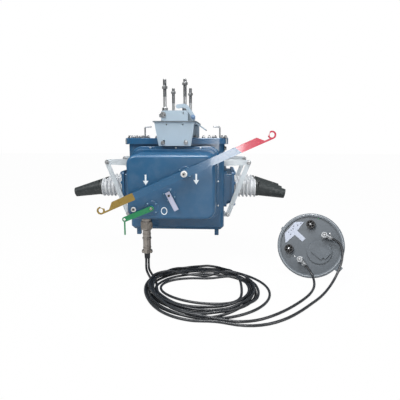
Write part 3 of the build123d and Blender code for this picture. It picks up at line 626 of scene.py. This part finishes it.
def add_parts(bm, other):
    """Joins a second bmesh into the first."""
    mesh = bpy.data.meshes.new("joined")
    other.to_mesh(mesh)
    other.free()
    bm.from_mesh(mesh)
    bpy.data.meshes.remove(mesh)
    return bm


def bolt_head(size):
    """A small bolt's washer and hexagon head, standing on its own XY plane."""
    bm = turned([(0, -0.1), (1.05, -0.1), (1.05, 0.14), (0, 0.14)], 24, size)
    head = turned([(0, 0), (0.86, 0), (0.86, 0.5), (0.72, 0.62), (0, 0.62)], 6, size)
    bmesh.ops.translate(head, verts=head.verts, vec=(0, 0, size * 0.12))
    return add_parts(bm, head)


def pan_screw(radius):
    """A pan screw standing on its own XY plane."""
    dome = [(0, -0.1), (1, -0.1), (1, 0.22), (0.82, 0.48), (0.45, 0.6), (0, 0.62)]
    return turned(dome, 24, radius)


def scattered(name, make, spots, material):
    """One piece made of copies of a part at each spot, set by Geometry Nodes and then realized."""
    points = bpy.data.meshes.new(name + "_spots")
    points.from_pydata([spot.to_translation() for spot in spots], [], [])
    turns = points.attributes.new("turn", "FLOAT_VECTOR", "POINT")
    turns.data.foreach_set("vector", [value for spot in spots for value in spot.to_euler()])
    holder = bpy.data.objects.new(name, points)
    bpy.context.collection.objects.link(holder)
    part = solid_from(make, name + "_part", material)
    tree = instance_tree(name)
    modifier = holder.modifiers.new("copies", "NODES")
    modifier.node_group = tree
    for item in tree.interface.items_tree:
        if item.in_out == "INPUT" and item.name in {"Part", "Material"}:
            modifier[item.identifier] = part if item.name == "Part" else material
    bpy.context.view_layer.update()
    graph = bpy.context.evaluated_depsgraph_get()
    mesh = bpy.data.meshes.new_from_object(holder.evaluated_get(graph))
    mesh.name = name
    holder.modifiers.remove(modifier)
    holder.data = mesh
    bpy.data.meshes.remove(points)
    leftover = part.data
    bpy.data.objects.remove(part)
    bpy.data.meshes.remove(leftover)
    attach(holder, "switch")


def instance_tree(name):
    """A node group that puts a part at every point, turned by the point's turn."""
    tree = bpy.data.node_groups.new(name + "_copies", "GeometryNodeTree")
    for socket, kind in (("Geometry", "Geometry"), ("Part", "Object"), ("Material", "Material")):
        tree.interface.new_socket(socket, in_out="INPUT", socket_type="NodeSocket" + kind)
    tree.interface.new_socket("Geometry", in_out="OUTPUT", socket_type="NodeSocketGeometry")
    nodes = Nodes(tree)
    start = {socket.name: Term(nodes, socket) for socket in tree.nodes.new("NodeGroupInput").outputs}
    turn = nodes.node("GeometryNodeInputNamedAttribute", {"data_type": "FLOAT_VECTOR"}, {"Name": "turn"})
    rotation = nodes.node("FunctionNodeEulerToRotation", {}, {0: turn})
    part = nodes.node("GeometryNodeObjectInfo", {}, {"Object": start["Part"]}, "Geometry")
    inputs = {"Points": start["Geometry"], "Instance": part, "Rotation": rotation}
    copies = nodes.node("GeometryNodeInstanceOnPoints", {}, inputs)
    real = nodes.node("GeometryNodeRealizeInstances", {}, {"Geometry": copies})
    inputs = {"Geometry": real, "Material": start["Material"]}
    finished = nodes.node("GeometryNodeSetMaterial", {}, inputs)
    nodes.fill(tree.nodes.new("NodeGroupOutput").inputs["Geometry"], finished)
    return tree


FRONT = (0, -1, 0)
UP = (0, 0, 1)
COVER_FACE = -0.385
LEVER_FACE = -0.4334
CLIP_REACH = 0.2545
THREADS_FROM = 68 * MM
THREADED = 82 * MM
# How far the cover's marks stand out of its face and reach into it
MARK_OUT = 0.0004
MARK_IN = 0.0002


def on_axis(axis, depth, spin=0.0):
    """A transform at a depth on an axis that runs to the front."""
    return facing((axis[0], depth, axis[1]), FRONT, spin)


def spots_at(places, outward, spins=(0.0,)):
    """Transforms at places given in millimetres, all facing one way."""
    return [
        facing(Vector(place) * MM, outward, spins[count % len(spins)])
        for count, place in enumerate(places)
    ]


class LBS_OT_hanger_fasteners(bpy.types.Operator):
    """Adds the studs' threads and nuts, and the hanger's bolts"""

    bl_idname = "lbs.hanger_fasteners"
    bl_label = "Hanger fasteners"

    def execute(self, context):
        sizes = context.scene.lbs_sizes
        zinc = plated("fastener_zinc", (0.36, 0.37, 0.38), 0.26)
        # The height of each stud's upper nut
        tops = {(-50, -175): 106, (50, -175): 124, (-50, 175): 122, (50, 175): 112}
        nuts = [(*stud, height) for stud, top in tops.items() for height in (3, top, -70)]
        spots = spots_at(nuts, UP, (0.2, 0.9, 0.5))
        scattered("stud_nuts", hex_nut(24 * MM, 13 * MM), spots, zinc)
        washers = turned([(0, 0), (15, 0), (15, 2.6), (0, 2.6)], 28, MM)
        seats = spots_at([(*stud, 0.2) for stud in tops], UP)
        scattered("stud_washers", washers, seats, zinc)
        stud_threads(sizes.thread_pitch, tops, plated("thread_steel", (0.085, 0.09, 0.095), 0.36))
        low_bolts = spots_at([(-59, -207, -157.5), (55.4, -207, -156)], FRONT, (0.3, 0.8))
        scattered("lug_bolts", bolt_head(10.5 * MM), low_bolts, zinc)
        rear_bolts = spots_at([(-80, 190, -127), (80, 190, -127)], UP, (0.1, 0.6))
        scattered("rear_leg_bolts", bolt_head(12 * MM), rear_bolts, zinc)
        side_bolts = spots_at([(-66, -190, -21), (-66, 150, -21)], (-1, 0, 0), (0.3, 0.7))
        side_bolts += spots_at([(66, 150, -21)], (1, 0, 0))
        end_plate = surface_hit(NODES["saddle_end_plate"], Vector((-0.056, -0.7, -0.021)), Vector((0, 1, 0)))
        side_bolts.append(facing(end_plate, FRONT, 0.4))
        scattered("saddle_side_bolts", bolt_head(14 * MM), side_bolts, zinc)
        pin = spots_at([(92, -201, -32)], FRONT, (0.4,))
        blue = painted("claw_nut_enamel", (0.16, 0.26, 0.42), 0.3, 0.2)
        scattered("claw_pin_nut", hex_nut(20 * MM, 9 * MM, 6 * MM), pin, blue)
        return {"FINISHED"}


def stud_threads(pitch, studs, material):
    """Rolled threads round the tops of the studs."""
    spots = []
    for x, y in studs:
        for step in range(int(THREADED / pitch)):
            spots.append(facing((x * MM, y * MM, THREADS_FROM + step * pitch), UP))
    ridge = turned([(0, 0), (7.95 * MM, 0), (8.7 * MM, pitch * 0.5), (7.95 * MM, pitch), (0, pitch)], 20)
    scattered("stud_threads", ridge, spots, material)


class LBS_OT_tank_fasteners(bpy.types.Operator):
    """Adds the bolts of the lid, the screws of the front frame and the clips at the lid's ends"""

    bl_idname = "lbs.tank_fasteners"
    bl_label = "Tank fasteners"

    def execute(self, context):
        size = context.scene.lbs_sizes.bolt_size
        zinc = plated("bolt_zinc", (0.36, 0.37, 0.38), 0.32)
        pale = plated("screw_chrome", (0.62, 0.68, 0.72), 0.24)
        front = [(x, -151, -133) for x in (-233, -201, -170, -141, 141, 170, 201, 233, 252)]
        rear = [(x, 321, -133) for x in range(-240, 241, 60)]
        sides = [(x, y, -133) for x in (-254, 254) for y in (-90, -25, 40, 105, 170, 235, 292)]
        spots = spots_at(front + rear + sides, UP, (0.2, 1.1, 0.7, 0.4))
        scattered("lid_bolts", lid_nut(size), spots, zinc)
        ends = spots_at([(249, -128, -153), (249, -128, -185)], (1, 0, 0))
        ends += spots_at([(-249, -128, -150)], (-1, 0, 0))
        scattered("corner_bolts", bolt_head(12 * MM), ends, zinc)
        screws = [(x, -182) for x in (-126.5, 2.7, 129)]
        screws += [(x, z) for x in (216.5, -216.5) for z in (-350, -475)]
        screws += [(x, -540.5) for x in (-126.5, 2.7, 129)]
        spots = spots_at([(x, frame_face(x, z), z) for x, z in screws], FRONT, (0.3, 1.0))
        scattered("frame_screws", pan_screw(5.0 * MM), spots, pale)
        for name, side in (("corner_clip_left", -1), ("corner_clip_right", 1)):
            clip = bmesh.new()
            bmesh.ops.create_cube(clip, size=1.0)
            shape = Matrix.Diagonal((13 * MM, 26 * MM, 27 * MM, 1.0))
            place = Matrix.Translation((side * CLIP_REACH, -0.136, -0.1515))
            bmesh.ops.transform(clip, matrix=place @ shape, verts=clip.verts)
            bmesh.ops.bevel(clip, geom=clip.edges[:], offset=1.5 * MM, segments=2, affect="EDGES")
            finish = painted(name + "_galvanising", (0.20, 0.23, 0.25), 0.4, 0.3)
            fitted(clip, name, finish, "switch")
        return {"FINISHED"}


def lid_nut(size):
    """A stud end with its nut and washer, standing on its own XY plane."""
    bm = bmesh.new()
    for sides, profile in (
        (24, [(0, -0.1), (1.2, -0.1), (1.2, 0.16), (0, 0.16)]),
        (6, [(0, 0.1), (1.06, 0.1), (1.06, 0.8), (0.9, 0.95), (0, 0.95)]),
        (16, [(0, 0.9), (0.5, 0.9), (0.5, 1.65), (0.38, 1.8), (0, 1.8)]),
    ):
        add_parts(bm, turned(profile, sides, size))
    return bm


def frame_face(x, z):
    """The front frame's surface under a screw, in millimetres."""
    start = Vector((x * MM, -0.7, z * MM))
    hit = surface_hit(NODES["front_frame"], start, Vector(FRONT) * -1)
    return hit.y / MM


def surface_hit(node, start, direction):
    """Where a line first meets a node's surface."""
    place = first_hit(node, start, direction)
    if place is None:
        raise RuntimeError(f"nothing of {node.name} lies under {tuple(start)}")
    return place


def flat_mark(bm, outline, place):
    """Adds a thin flat mark to the cover's face, its outline in millimetres."""
    front, back = (
        [bm.verts.new((place[0] + x * MM, depth, place[1] + z * MM)) for x, z in outline]
        for depth in (COVER_FACE - MARK_OUT, COVER_FACE + MARK_IN)
    )
    bm.faces.new(front)
    bm.faces.new(list(reversed(back)))
    bridged(bm, back, front)


def ring_mark(bm, place, radius, width, squash=1.0):
    """Adds a thin ring mark to the cover's face, its radius and width in millimetres."""
    sides = 48
    rings = []
    for reach in (radius, radius - width):
        for depth in (COVER_FACE + MARK_IN, COVER_FACE - MARK_OUT):
            ring = []
            for step in range(sides):
                angle = 2 * math.pi * step / sides
                x = place[0] + reach * MM * squash * math.cos(angle)
                ring.append(bm.verts.new((x, depth, place[1] + reach * MM * math.sin(angle))))
            rings.append(ring)
    outer_back, outer_front, inner_back, inner_front = rings
    loop = (outer_back, outer_front, inner_front, inner_back, outer_back)
    for first, second in zip(loop, loop[1:]):
        bridged(bm, first, second)


class LBS_OT_cover_marks(bpy.types.Operator):
    """Paints the two arrows and the off mark on the mechanism cover"""

    bl_idname = "lbs.cover_marks"
    bl_label = "Cover marks"

    def execute(self, context):
        bm = bmesh.new()
        arrow = [(-4, 24), (4, 24), (4, -4), (13, -4), (0, -25), (-13, -4), (-4, -4)]
        for place in ((-0.114, -0.322), (0.118, -0.317)):
            flat_mark(bm, arrow, place)
        ring_mark(bm, (-0.031, -0.466), 18, 4.2, 0.82)
        fitted(bm, "cover_marks", mark_paint(), "switch")
        return {"FINISHED"}


def mark_paint():
    """White stencil paint, thin and a little worn at its edges."""
    shade = Shade("mark_paint")
    wear = shade.noise(420.0, 4.0, 0.6).smooth(0.60, 0.72)
    base = shade.mix(wear * 0.45, (0.80, 0.86, 0.90), (0.34, 0.48, 0.60))
    shade.bump(shade.noise(900.0, 2.0), 0.00004, 0.5)
    return shade.set(Base_Color=base, Roughness=0.42 + wear * 0.2)


class LBS_OT_lever_fittings(bpy.types.Operator):
    """Adds the bolts, washers and screws of the levers, pointer and bosses"""

    bl_idname = "lbs.lever_fittings"
    bl_label = "Lever fittings"

    def execute(self, context):
        zinc = plated("lever_bolt_zinc", (0.40, 0.36, 0.31), 0.34)
        dark = moulded("bolt_black", (0.028, 0.026, 0.024), 0.4)
        white = moulded("washer_nylon", (0.80, 0.80, 0.78), 0.4, 0.05, 0.00003, 0.08)
        washer = turned([(0, 0), (14.6, 0), (14.6, 2.4), (13.6, 3.4), (0, 3.4)], 40, MM)
        seat = on_axis(LEVER_AXIS, LEVER_FACE)
        fitted(washer, "lever_washer", white, "lever", seat)
        thread = turned([(0, 0), (4.8, 0), (4.8, 4.0), (3.6, 5.2), (0, 5.2)], 24, MM)
        seat = on_axis(LEVER_AXIS, LEVER_FACE - 0.0118)
        fitted(thread, "lever_bolt_end", dark, "lever", seat)
        for name, body, axis, depth, size, finish in (
            ("trip_pivot_nut", "trip", TRIP_AXIS, -0.4054, 12, zinc),
            ("pointer_bolt", "pointer", POINTER_AXIS, -0.4014, 10, dark),
        ):
            nut = hex_nut(size * MM, 5 * MM, size * 0.3 * MM)
            fitted(nut, name, finish, body, on_axis(axis, depth, 0.35))
        ring = turned([(0, 0), (11.5, 0), (11.5, 1.6), (10.6, 2.2), (0, 2.2)], 36, MM)
        fitted(ring, "stop_washer", white, "switch", on_axis(STOP_AXIS, -0.4032))
        core = hex_nut(9 * MM, 3 * MM)
        fitted(core, "stop_bolt", dark, "switch", on_axis(STOP_AXIS, -0.4060))
        rivet = turned([(0, 0), (5.6, 0), (5.2, 1.0), (3.4, 1.9), (0, 2.3)], 28, MM)
        strip_low, strip_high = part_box("pull_strip")
        pin = ((strip_low.x + strip_high.x) / 2, strip_high.z - 0.0048)
        seat = on_axis(pin, strip_low.y - 0.0001)
        fitted(rivet, "strip_rivet", white, "strip", seat)
        screws = []
        circles = ((TRIP_AXIS, 0.028, 45), (POINTER_AXIS, 0.0255, 75), (LEVER_AXIS, 0.027, 60))
        for (x, z), radius, start in circles:
            for quarter in range(4):
                angle = math.radians(start + 90 * quarter)
                spot = (x + radius * math.cos(angle), COVER_FACE - 0.004, z + radius * math.sin(angle))
                screws.append(facing(spot, FRONT, angle))
        blue = painted("boss_screw_enamel", (0.16, 0.30, 0.42), 0.28, 0.2)
        scattered("boss_screws", pan_screw(3.4 * MM), screws, blue)
        return {"FINISHED"}


UNIT_CENTRE = Vector((0.657, -0.322, -0.6357))
UNIT_FACE_DEPTH = 6.0
UNIT_SCREWS = (
    (49.6, 49.5), (-64.6, -63.6), (-39.3, -79.7), (-10.5, -105.6), (68.9, 50.3), (84.6, 64.0), (-93, -52),
)
STATUS_DOTS = (
    (-86.7, 83.8), (-68, 90.6), (-53.5, 100), (-96.5, 62.7), (-88.2, 70.5), (-97.2, 41.9), (-107.5, 51.3),
)
# The connectors' nuts across and up the unit's face, in millimetres, and their barrels' turn
CONNECTORS = ((62, 52, -20), (-38, -75, -42))
BARREL_RISE = 16.75


def unit_axes():
    """The control unit's own axes: across, up and out of its face."""
    turn = math.radians(21.0)
    tilt = math.radians(24.0)
    out = Vector((-math.sin(turn) * math.cos(tilt), -math.cos(turn) * math.cos(tilt), math.sin(tilt)))
    across = Vector((math.cos(turn), -math.sin(turn), 0))
    return across, out.cross(across), out


def unit_spot(across_mm, up_mm, rise_mm=0.0, spin=0.0):
    """A transform on the control unit's face, pointing out of it."""
    across, up, out = unit_axes()
    shift = across * across_mm + up * up_mm + out * (rise_mm - UNIT_FACE_DEPTH)
    place = UNIT_CENTRE + shift * MM
    return facing(place, out, spin)


def barrel_spots(leads_mm):
    """Transforms along both connectors' barrels, pointing away from their nuts."""
    across, up, _ = unit_axes()
    spots = []
    for across_mm, up_mm, turn in CONNECTORS:
        lead = across * math.cos(math.radians(turn)) + up * math.sin(math.radians(turn))
        nut = unit_spot(across_mm, up_mm, BARREL_RISE).to_translation()
        spots += [facing(nut + lead * reach * MM, lead) for reach in leads_mm]
    return spots


class LBS_OT_unit_fittings(bpy.types.Operator):
    """Adds the control unit's screws, plate dots, cap hubs, connector rings, light and rim bead"""

    bl_idname = "lbs.unit_fittings"
    bl_label = "Control unit fittings"

    def execute(self, context):
        bright = plated("unit_screw_plating", (0.66, 0.67, 0.69), 0.22)
        spots = [unit_spot(across, up, 0, across) for across, up in UNIT_SCREWS]
        scattered("unit_face_screws", pan_screw(4.2 * MM), spots, bright)
        disc = turned([(0, 0), (2.6, 0), (2.6, 0.5), (0, 0.5)], 16, MM)
        ink = moulded("plate_ink", (0.035, 0.04, 0.06), 0.5)
        spots = [unit_spot(across, up, 1.9) for across, up in STATUS_DOTS]
        scattered("status_lights", disc, spots, ink)
        hub = turned([(0, 0), (4.0, 0), (3.6, 1.2), (2.0, 2.0), (0, 2.2)], 24, MM)
        spots = [unit_spot(-7.6, 98.9, 15.9), unit_spot(-96.3, -30.5, 15.9)]
        scattered("cap_hubs", hub, spots, bright)
        steel = plated("connector_groove_steel", (0.13, 0.135, 0.14), 0.36)
        disc = turned([(0, 0), (10.2, 0), (10.2, 1.8), (0, 1.8)], 32, MM)
        scattered("connector_grooves", disc, barrel_spots((10, 15.5, 20.5, 34)), steel)
        tops = [unit_spot(across, up, 28.0) for across, up, _ in CONNECTORS]
        dish = turned([(0, 0), (8.4, 0), (8.4, 0.6), (0, 0.6)], 32, MM)
        scattered("connector_dishes", dish, tops, steel)
        stub = turned([(0, 0), (4.6, 0), (4.6, 2.0), (3.6, 2.8), (0, 2.8)], 24, MM)
        scattered("connector_stubs", stub, tops, bright)
        lamp = turned([(0, 0), (2.4, 0), (2.2, 1.0), (0, 1.9)], 20, MM)
        green = moulded("light_green", (0.03, 0.42, 0.12), 0.25, 0.05)
        fitted(lamp, "ready_light", green, "switch", unit_spot(26.7, 132.5))
        rim = painted("rim_enamel", (0.30, 0.33, 0.36), 0.3, 0.2)
        fitted(bead_ring(0.1475, 0.0022, 0.0006), "unit_rim_bead", rim, "switch")
        return {"FINISHED"}


def bead_ring(radius, thickness, rise):
    """A round bead that runs along the control unit's rim."""
    across, up, out = unit_axes()
    centre = UNIT_CENTRE + out * rise
    bm = bmesh.new()
    sides = 96
    rings = []
    for corner in range(8):
        angle = 2 * math.pi * corner / 8
        reach = radius + thickness * math.cos(angle)
        level = out * thickness * math.sin(angle)
        ring = []
        for step in range(sides):
            turn = 2 * math.pi * step / sides
            outward = across * math.cos(turn) + up * math.sin(turn)
            ring.append(bm.verts.new(centre + level + outward * reach))
        rings.append(ring)
    for first, second in zip(rings, rings[1:] + rings[:1]):
        bridged(bm, first, second)
    return bm


PLUG_AXIS = Vector((-0.136, -0.276, 0))


class LBS_OT_plug_fittings(bpy.types.Operator):
    """Adds the knurling, rings and clamp screws of the control plug"""

    bl_idname = "lbs.plug_fittings"
    bl_label = "Control plug fittings"

    def execute(self, context):
        nickel = plated("plug_knurl_nickel", (0.30, 0.27, 0.24), 0.26)
        dark = moulded("plug_seal", (0.03, 0.03, 0.032), 0.45)
        ribs = []
        for step in range(36):
            angle = 2 * math.pi * step / 36
            out = Vector((math.cos(angle), math.sin(angle), 0))
            ribs.append(facing(PLUG_AXIS + out * 0.0270 + Vector((0, 0, -0.575)), UP, angle))
        rib = turned([(0, 0), (1.5 * MM, 0.6 * MM), (1.5 * MM, 33 * MM), (0, 33.8 * MM)], 6)
        scattered("plug_knurling", rib, ribs, nickel)
        for name, radius, height, depth, finish in (
            ("plug_seal_ring", 24.6, 3.4, -0.5222, dark),
            ("plug_neck_ring", 21.0, 3.0, -0.6010, nickel),
            ("plug_tail_ring", 20.8, 4.0, -0.6700, nickel),
        ):
            ring = turned([(0, -height * MM), (radius * MM, -height * MM), (radius * MM, 0), (0, 0)], 48)
            place = Matrix.Translation(PLUG_AXIS + Vector((0, 0, depth)))
            fitted(ring, name, finish, "switch", place)
        front = spots_at([(-154.5, -287.2, -693), (-117.5, -287.2, -693)], FRONT, (0.2, 0.9))
        sides = spots_at([(-161, -276, -693)], (-1, 0, 0)) + spots_at([(-111, -276, -693)], (1, 0, 0))
        scattered("clamp_screws", pan_screw(4.4 * MM), front + sides, nickel)
        return {"FINISHED"}


class LBS_OT_side_fasteners(bpy.types.Operator):
    """Adds the bolts of the side brackets and side housings"""

    bl_idname = "lbs.side_fasteners"
    bl_label = "Side fasteners"

    def execute(self, context):
        zinc = plated("side_bolt_zinc", (0.44, 0.45, 0.46), 0.32)
        spots = []
        for side, sign in (("right", 1), ("left", -1)):
            nodes = [NODES[f"{kind}_{side}"] for kind in ("bracket_arms", "bracket_braces", "brace_stubs")]
            for x, z in ((375, -259), (269, -537)):
                for start, ahead in ((-0.3, 1), (0.1, 1), (0.1, -1), (0.45, -1)):
                    origin = Vector((sign * x * MM, start, z * MM))
                    hits = [first_hit(node, origin, Vector((0, ahead, 0))) for node in nodes]
                    hits = [hit for hit in hits if hit is not None]
                    if hits:
                        near = min(hits, key=lambda hit: (hit - origin).length)
                        spots.append(facing(near, (0, -ahead, 0), 0.3 * len(spots)))
        scattered("bracket_bolts", bolt_head(11 * MM), spots, zinc)
        blue = painted("housing_bolt_enamel", shade_of(tuple(context.scene.lbs_colours.tank), 1.2), 0.3, 0.2)
        spots = []
        for side, sign in (("right", 1), ("left", -1)):
            corner_low, corner_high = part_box(f"side_housing_{side}")
            face = corner_high.x if sign > 0 else corner_low.x
            middle = Vector((face, 0.085, -0.400))
            for step in range(7):
                for z in (-0.082, 0.082):
                    spot = middle + Vector((0, (step - 3) * 0.0575, z))
                    spots.append(facing(spot, (sign, 0, 0), 0.4 * step))
            for y in (-0.1725, 0.1725):
                for z in (-0.03, 0.03):
                    spots.append(facing(middle + Vector((0, y, z)), (sign, 0, 0), 0.7))
        scattered("housing_bolts", bolt_head(9 * MM), spots, blue)
        return {"FINISHED"}


def first_hit(node, start, direction):
    """Where a line first meets a node's surface, or None."""
    corners = [vertex.co for vertex in node.data.vertices]
    faces = [list(face.vertices) for face in node.data.polygons]
    tree = BVHTree.FromPolygons(corners, faces)
    return tree.ray_cast(start, direction)[0]


CAMERA_PLACE = (0.224, -2.076, -0.133)
CAMERA_YAW = math.radians(3.012)
CAMERA_PITCH = math.radians(9.388)
CAMERA_LENS = 33.75
# Each lamp's name, place, aim, width and power
LAMPS = (
    ("key_lamp", (-1.7, -2.3, 2.3), (0.1, -0.1, -0.4), 1.4, 78),
    ("fill_lamp", (2.6, -1.8, 1.0), (0.1, -0.1, -0.45), 1.5, 36),
    ("top_lamp", (0.1, -0.6, 2.3), (0.0, -0.2, -0.3), 1.0, 70),
    ("sheen_lamp", (0.29, -2.35, -0.26), (0.22, -0.43, -0.21), 0.30, 5.6),
)


class LBS_OT_stage(bpy.types.Operator):
    """Sets up the floor, the soft lamps and the camera"""

    bl_idname = "lbs.stage"
    bl_label = "Floor, lamps and camera"

    def execute(self, context):
        scene = context.scene
        floor_z = cad_box[0].z - 0.0005
        bm = bmesh.new()
        bmesh.ops.create_grid(bm, x_segments=1, y_segments=1, size=14.0)
        mesh = bpy.data.meshes.new("floor")
        bm.to_mesh(mesh)
        bm.free()
        mesh.transform(Matrix.Translation((0, 0, floor_z)))
        mesh.materials.append(floor_white())
        floor = bpy.data.objects.new("floor", mesh)
        scene.collection.objects.link(floor)
        scene.world = studio_world()
        for name, place, aim, size, power in LAMPS:
            lamp = bpy.data.lights.new(name, "AREA")
            lamp.shape = "SQUARE"
            lamp.size = size
            lamp.energy = power
            obj = bpy.data.objects.new(name, lamp)
            scene.collection.objects.link(obj)
            obj.location = place
            obj.rotation_euler = (Vector(aim) - Vector(place)).to_track_quat("-Z", "Y").to_euler()
        camera = bpy.data.cameras.new("camera")
        camera.sensor_width = 36.0
        camera.lens = CAMERA_LENS
        camera.clip_end = 60.0
        obj = bpy.data.objects.new("camera", camera)
        scene.collection.objects.link(obj)
        obj.location = CAMERA_PLACE
        level = Vector((-math.sin(CAMERA_YAW), math.cos(CAMERA_YAW), 0)) * math.cos(CAMERA_PITCH)
        ahead = level - Vector((0, 0, math.sin(CAMERA_PITCH)))
        obj.rotation_euler = ahead.to_track_quat("-Z", "Y").to_euler()
        scene.camera = obj
        scene.view_settings.view_transform = "Standard"
        return {"FINISHED"}


def floor_white():
    """Pale paper that the camera sees as near white, with a faint shadow."""
    shade = Shade("floor_paper")
    shade.set(Base_Color=(0.60, 0.60, 0.60), Roughness=0.9)
    glow = shade.node("ShaderNodeEmission", {}, {"Color": (1.0, 1.0, 1.0)})
    seen = shade.node("ShaderNodeLightPath", output="Is Camera Ray")
    paper = Term(shade, shade.surface.outputs["BSDF"])
    mixed = shade.node("ShaderNodeMixShader", {}, {"Fac": seen * 0.98, 1: paper, 2: glow})
    shade.fill(shade.tree.nodes["Material Output"].inputs["Surface"], mixed)
    return shade.material


def studio_world():
    """A pale surround that darkens towards the horizon, plain white where the camera sees it."""
    world = bpy.data.worlds.new("studio")
    world.use_nodes = True
    nodes = Nodes(world.node_tree)
    place = nodes.node("ShaderNodeTexCoord", output="Generated")
    height = nodes.node("ShaderNodeSeparateXYZ", {}, {0: place}, "Z")
    inputs = {"Value": height, "From Min": -0.1, "From Max": 0.9, "To Min": 0.05, "To Max": 0.34}
    fade = nodes.node("ShaderNodeMapRange", {"interpolation_type": "SMOOTHSTEP"}, inputs)
    seen = nodes.node("ShaderNodeLightPath", output="Is Camera Ray")
    strength = nodes.node("ShaderNodeMix", {}, {"Factor": seen, "A": fade, "B": 1.0})
    back = nodes.tree.nodes["Background"]
    nodes.fill(back.inputs["Color"], (1.0, 1.0, 1.0))
    nodes.fill(back.inputs["Strength"], strength)
    return world


class LBS_PT_panel(bpy.types.Panel):
    """The switch's sizes, colours and making steps"""

    bl_idname = "LBS_PT_panel"
    bl_label = "Load Break Switch"
    bl_space_type = "VIEW_3D"
    bl_region_type = "UI"
    bl_category = "Load Break Switch"

    def draw(self, context):
        column = self.layout.column()
        for group in (context.scene.lbs_sizes, context.scene.lbs_colours):
            for name in group.bl_rna.properties.keys():
                if name not in {"rna_type", "name"}:
                    column.prop(group, name)
        for operator in OPERATORS:
            column.operator(operator.bl_idname)


OPERATORS = (
    LBS_OT_stage,
    LBS_OT_control_cables,
    LBS_OT_finishes,
    LBS_OT_hanger_fasteners,
    LBS_OT_tank_fasteners,
    LBS_OT_side_fasteners,
    LBS_OT_cover_marks,
    LBS_OT_lever_fittings,
    LBS_OT_plug_fittings,
    LBS_OT_unit_fittings,
)
CLASSES = (ControlSizes, ControlColours, *OPERATORS, LBS_PT_panel)


def register():
    """Registers the classes and gives the scene its settings."""
    for cls in CLASSES:
        bpy.utils.register_class(cls)
    bpy.types.Scene.lbs_sizes = bpy.props.PointerProperty(type=ControlSizes)
    bpy.types.Scene.lbs_colours = bpy.props.PointerProperty(type=ControlColours)


def unregister():
    """Takes the settings and the classes away again."""
    del bpy.types.Scene.lbs_sizes
    del bpy.types.Scene.lbs_colours
    for cls in reversed(CLASSES):
        bpy.utils.unregister_class(cls)


def corners(box):
    """A box's two corners as plain lists."""
    return [[round(value, 6) for value in corner] for corner in box]


def main():
    """Runs every operator in order."""
    register()
    for operator in OPERATORS:
        group, name = operator.bl_idname.split(".")
        getattr(getattr(bpy.ops, group), name)()


if __name__ == "__main__":
    main()
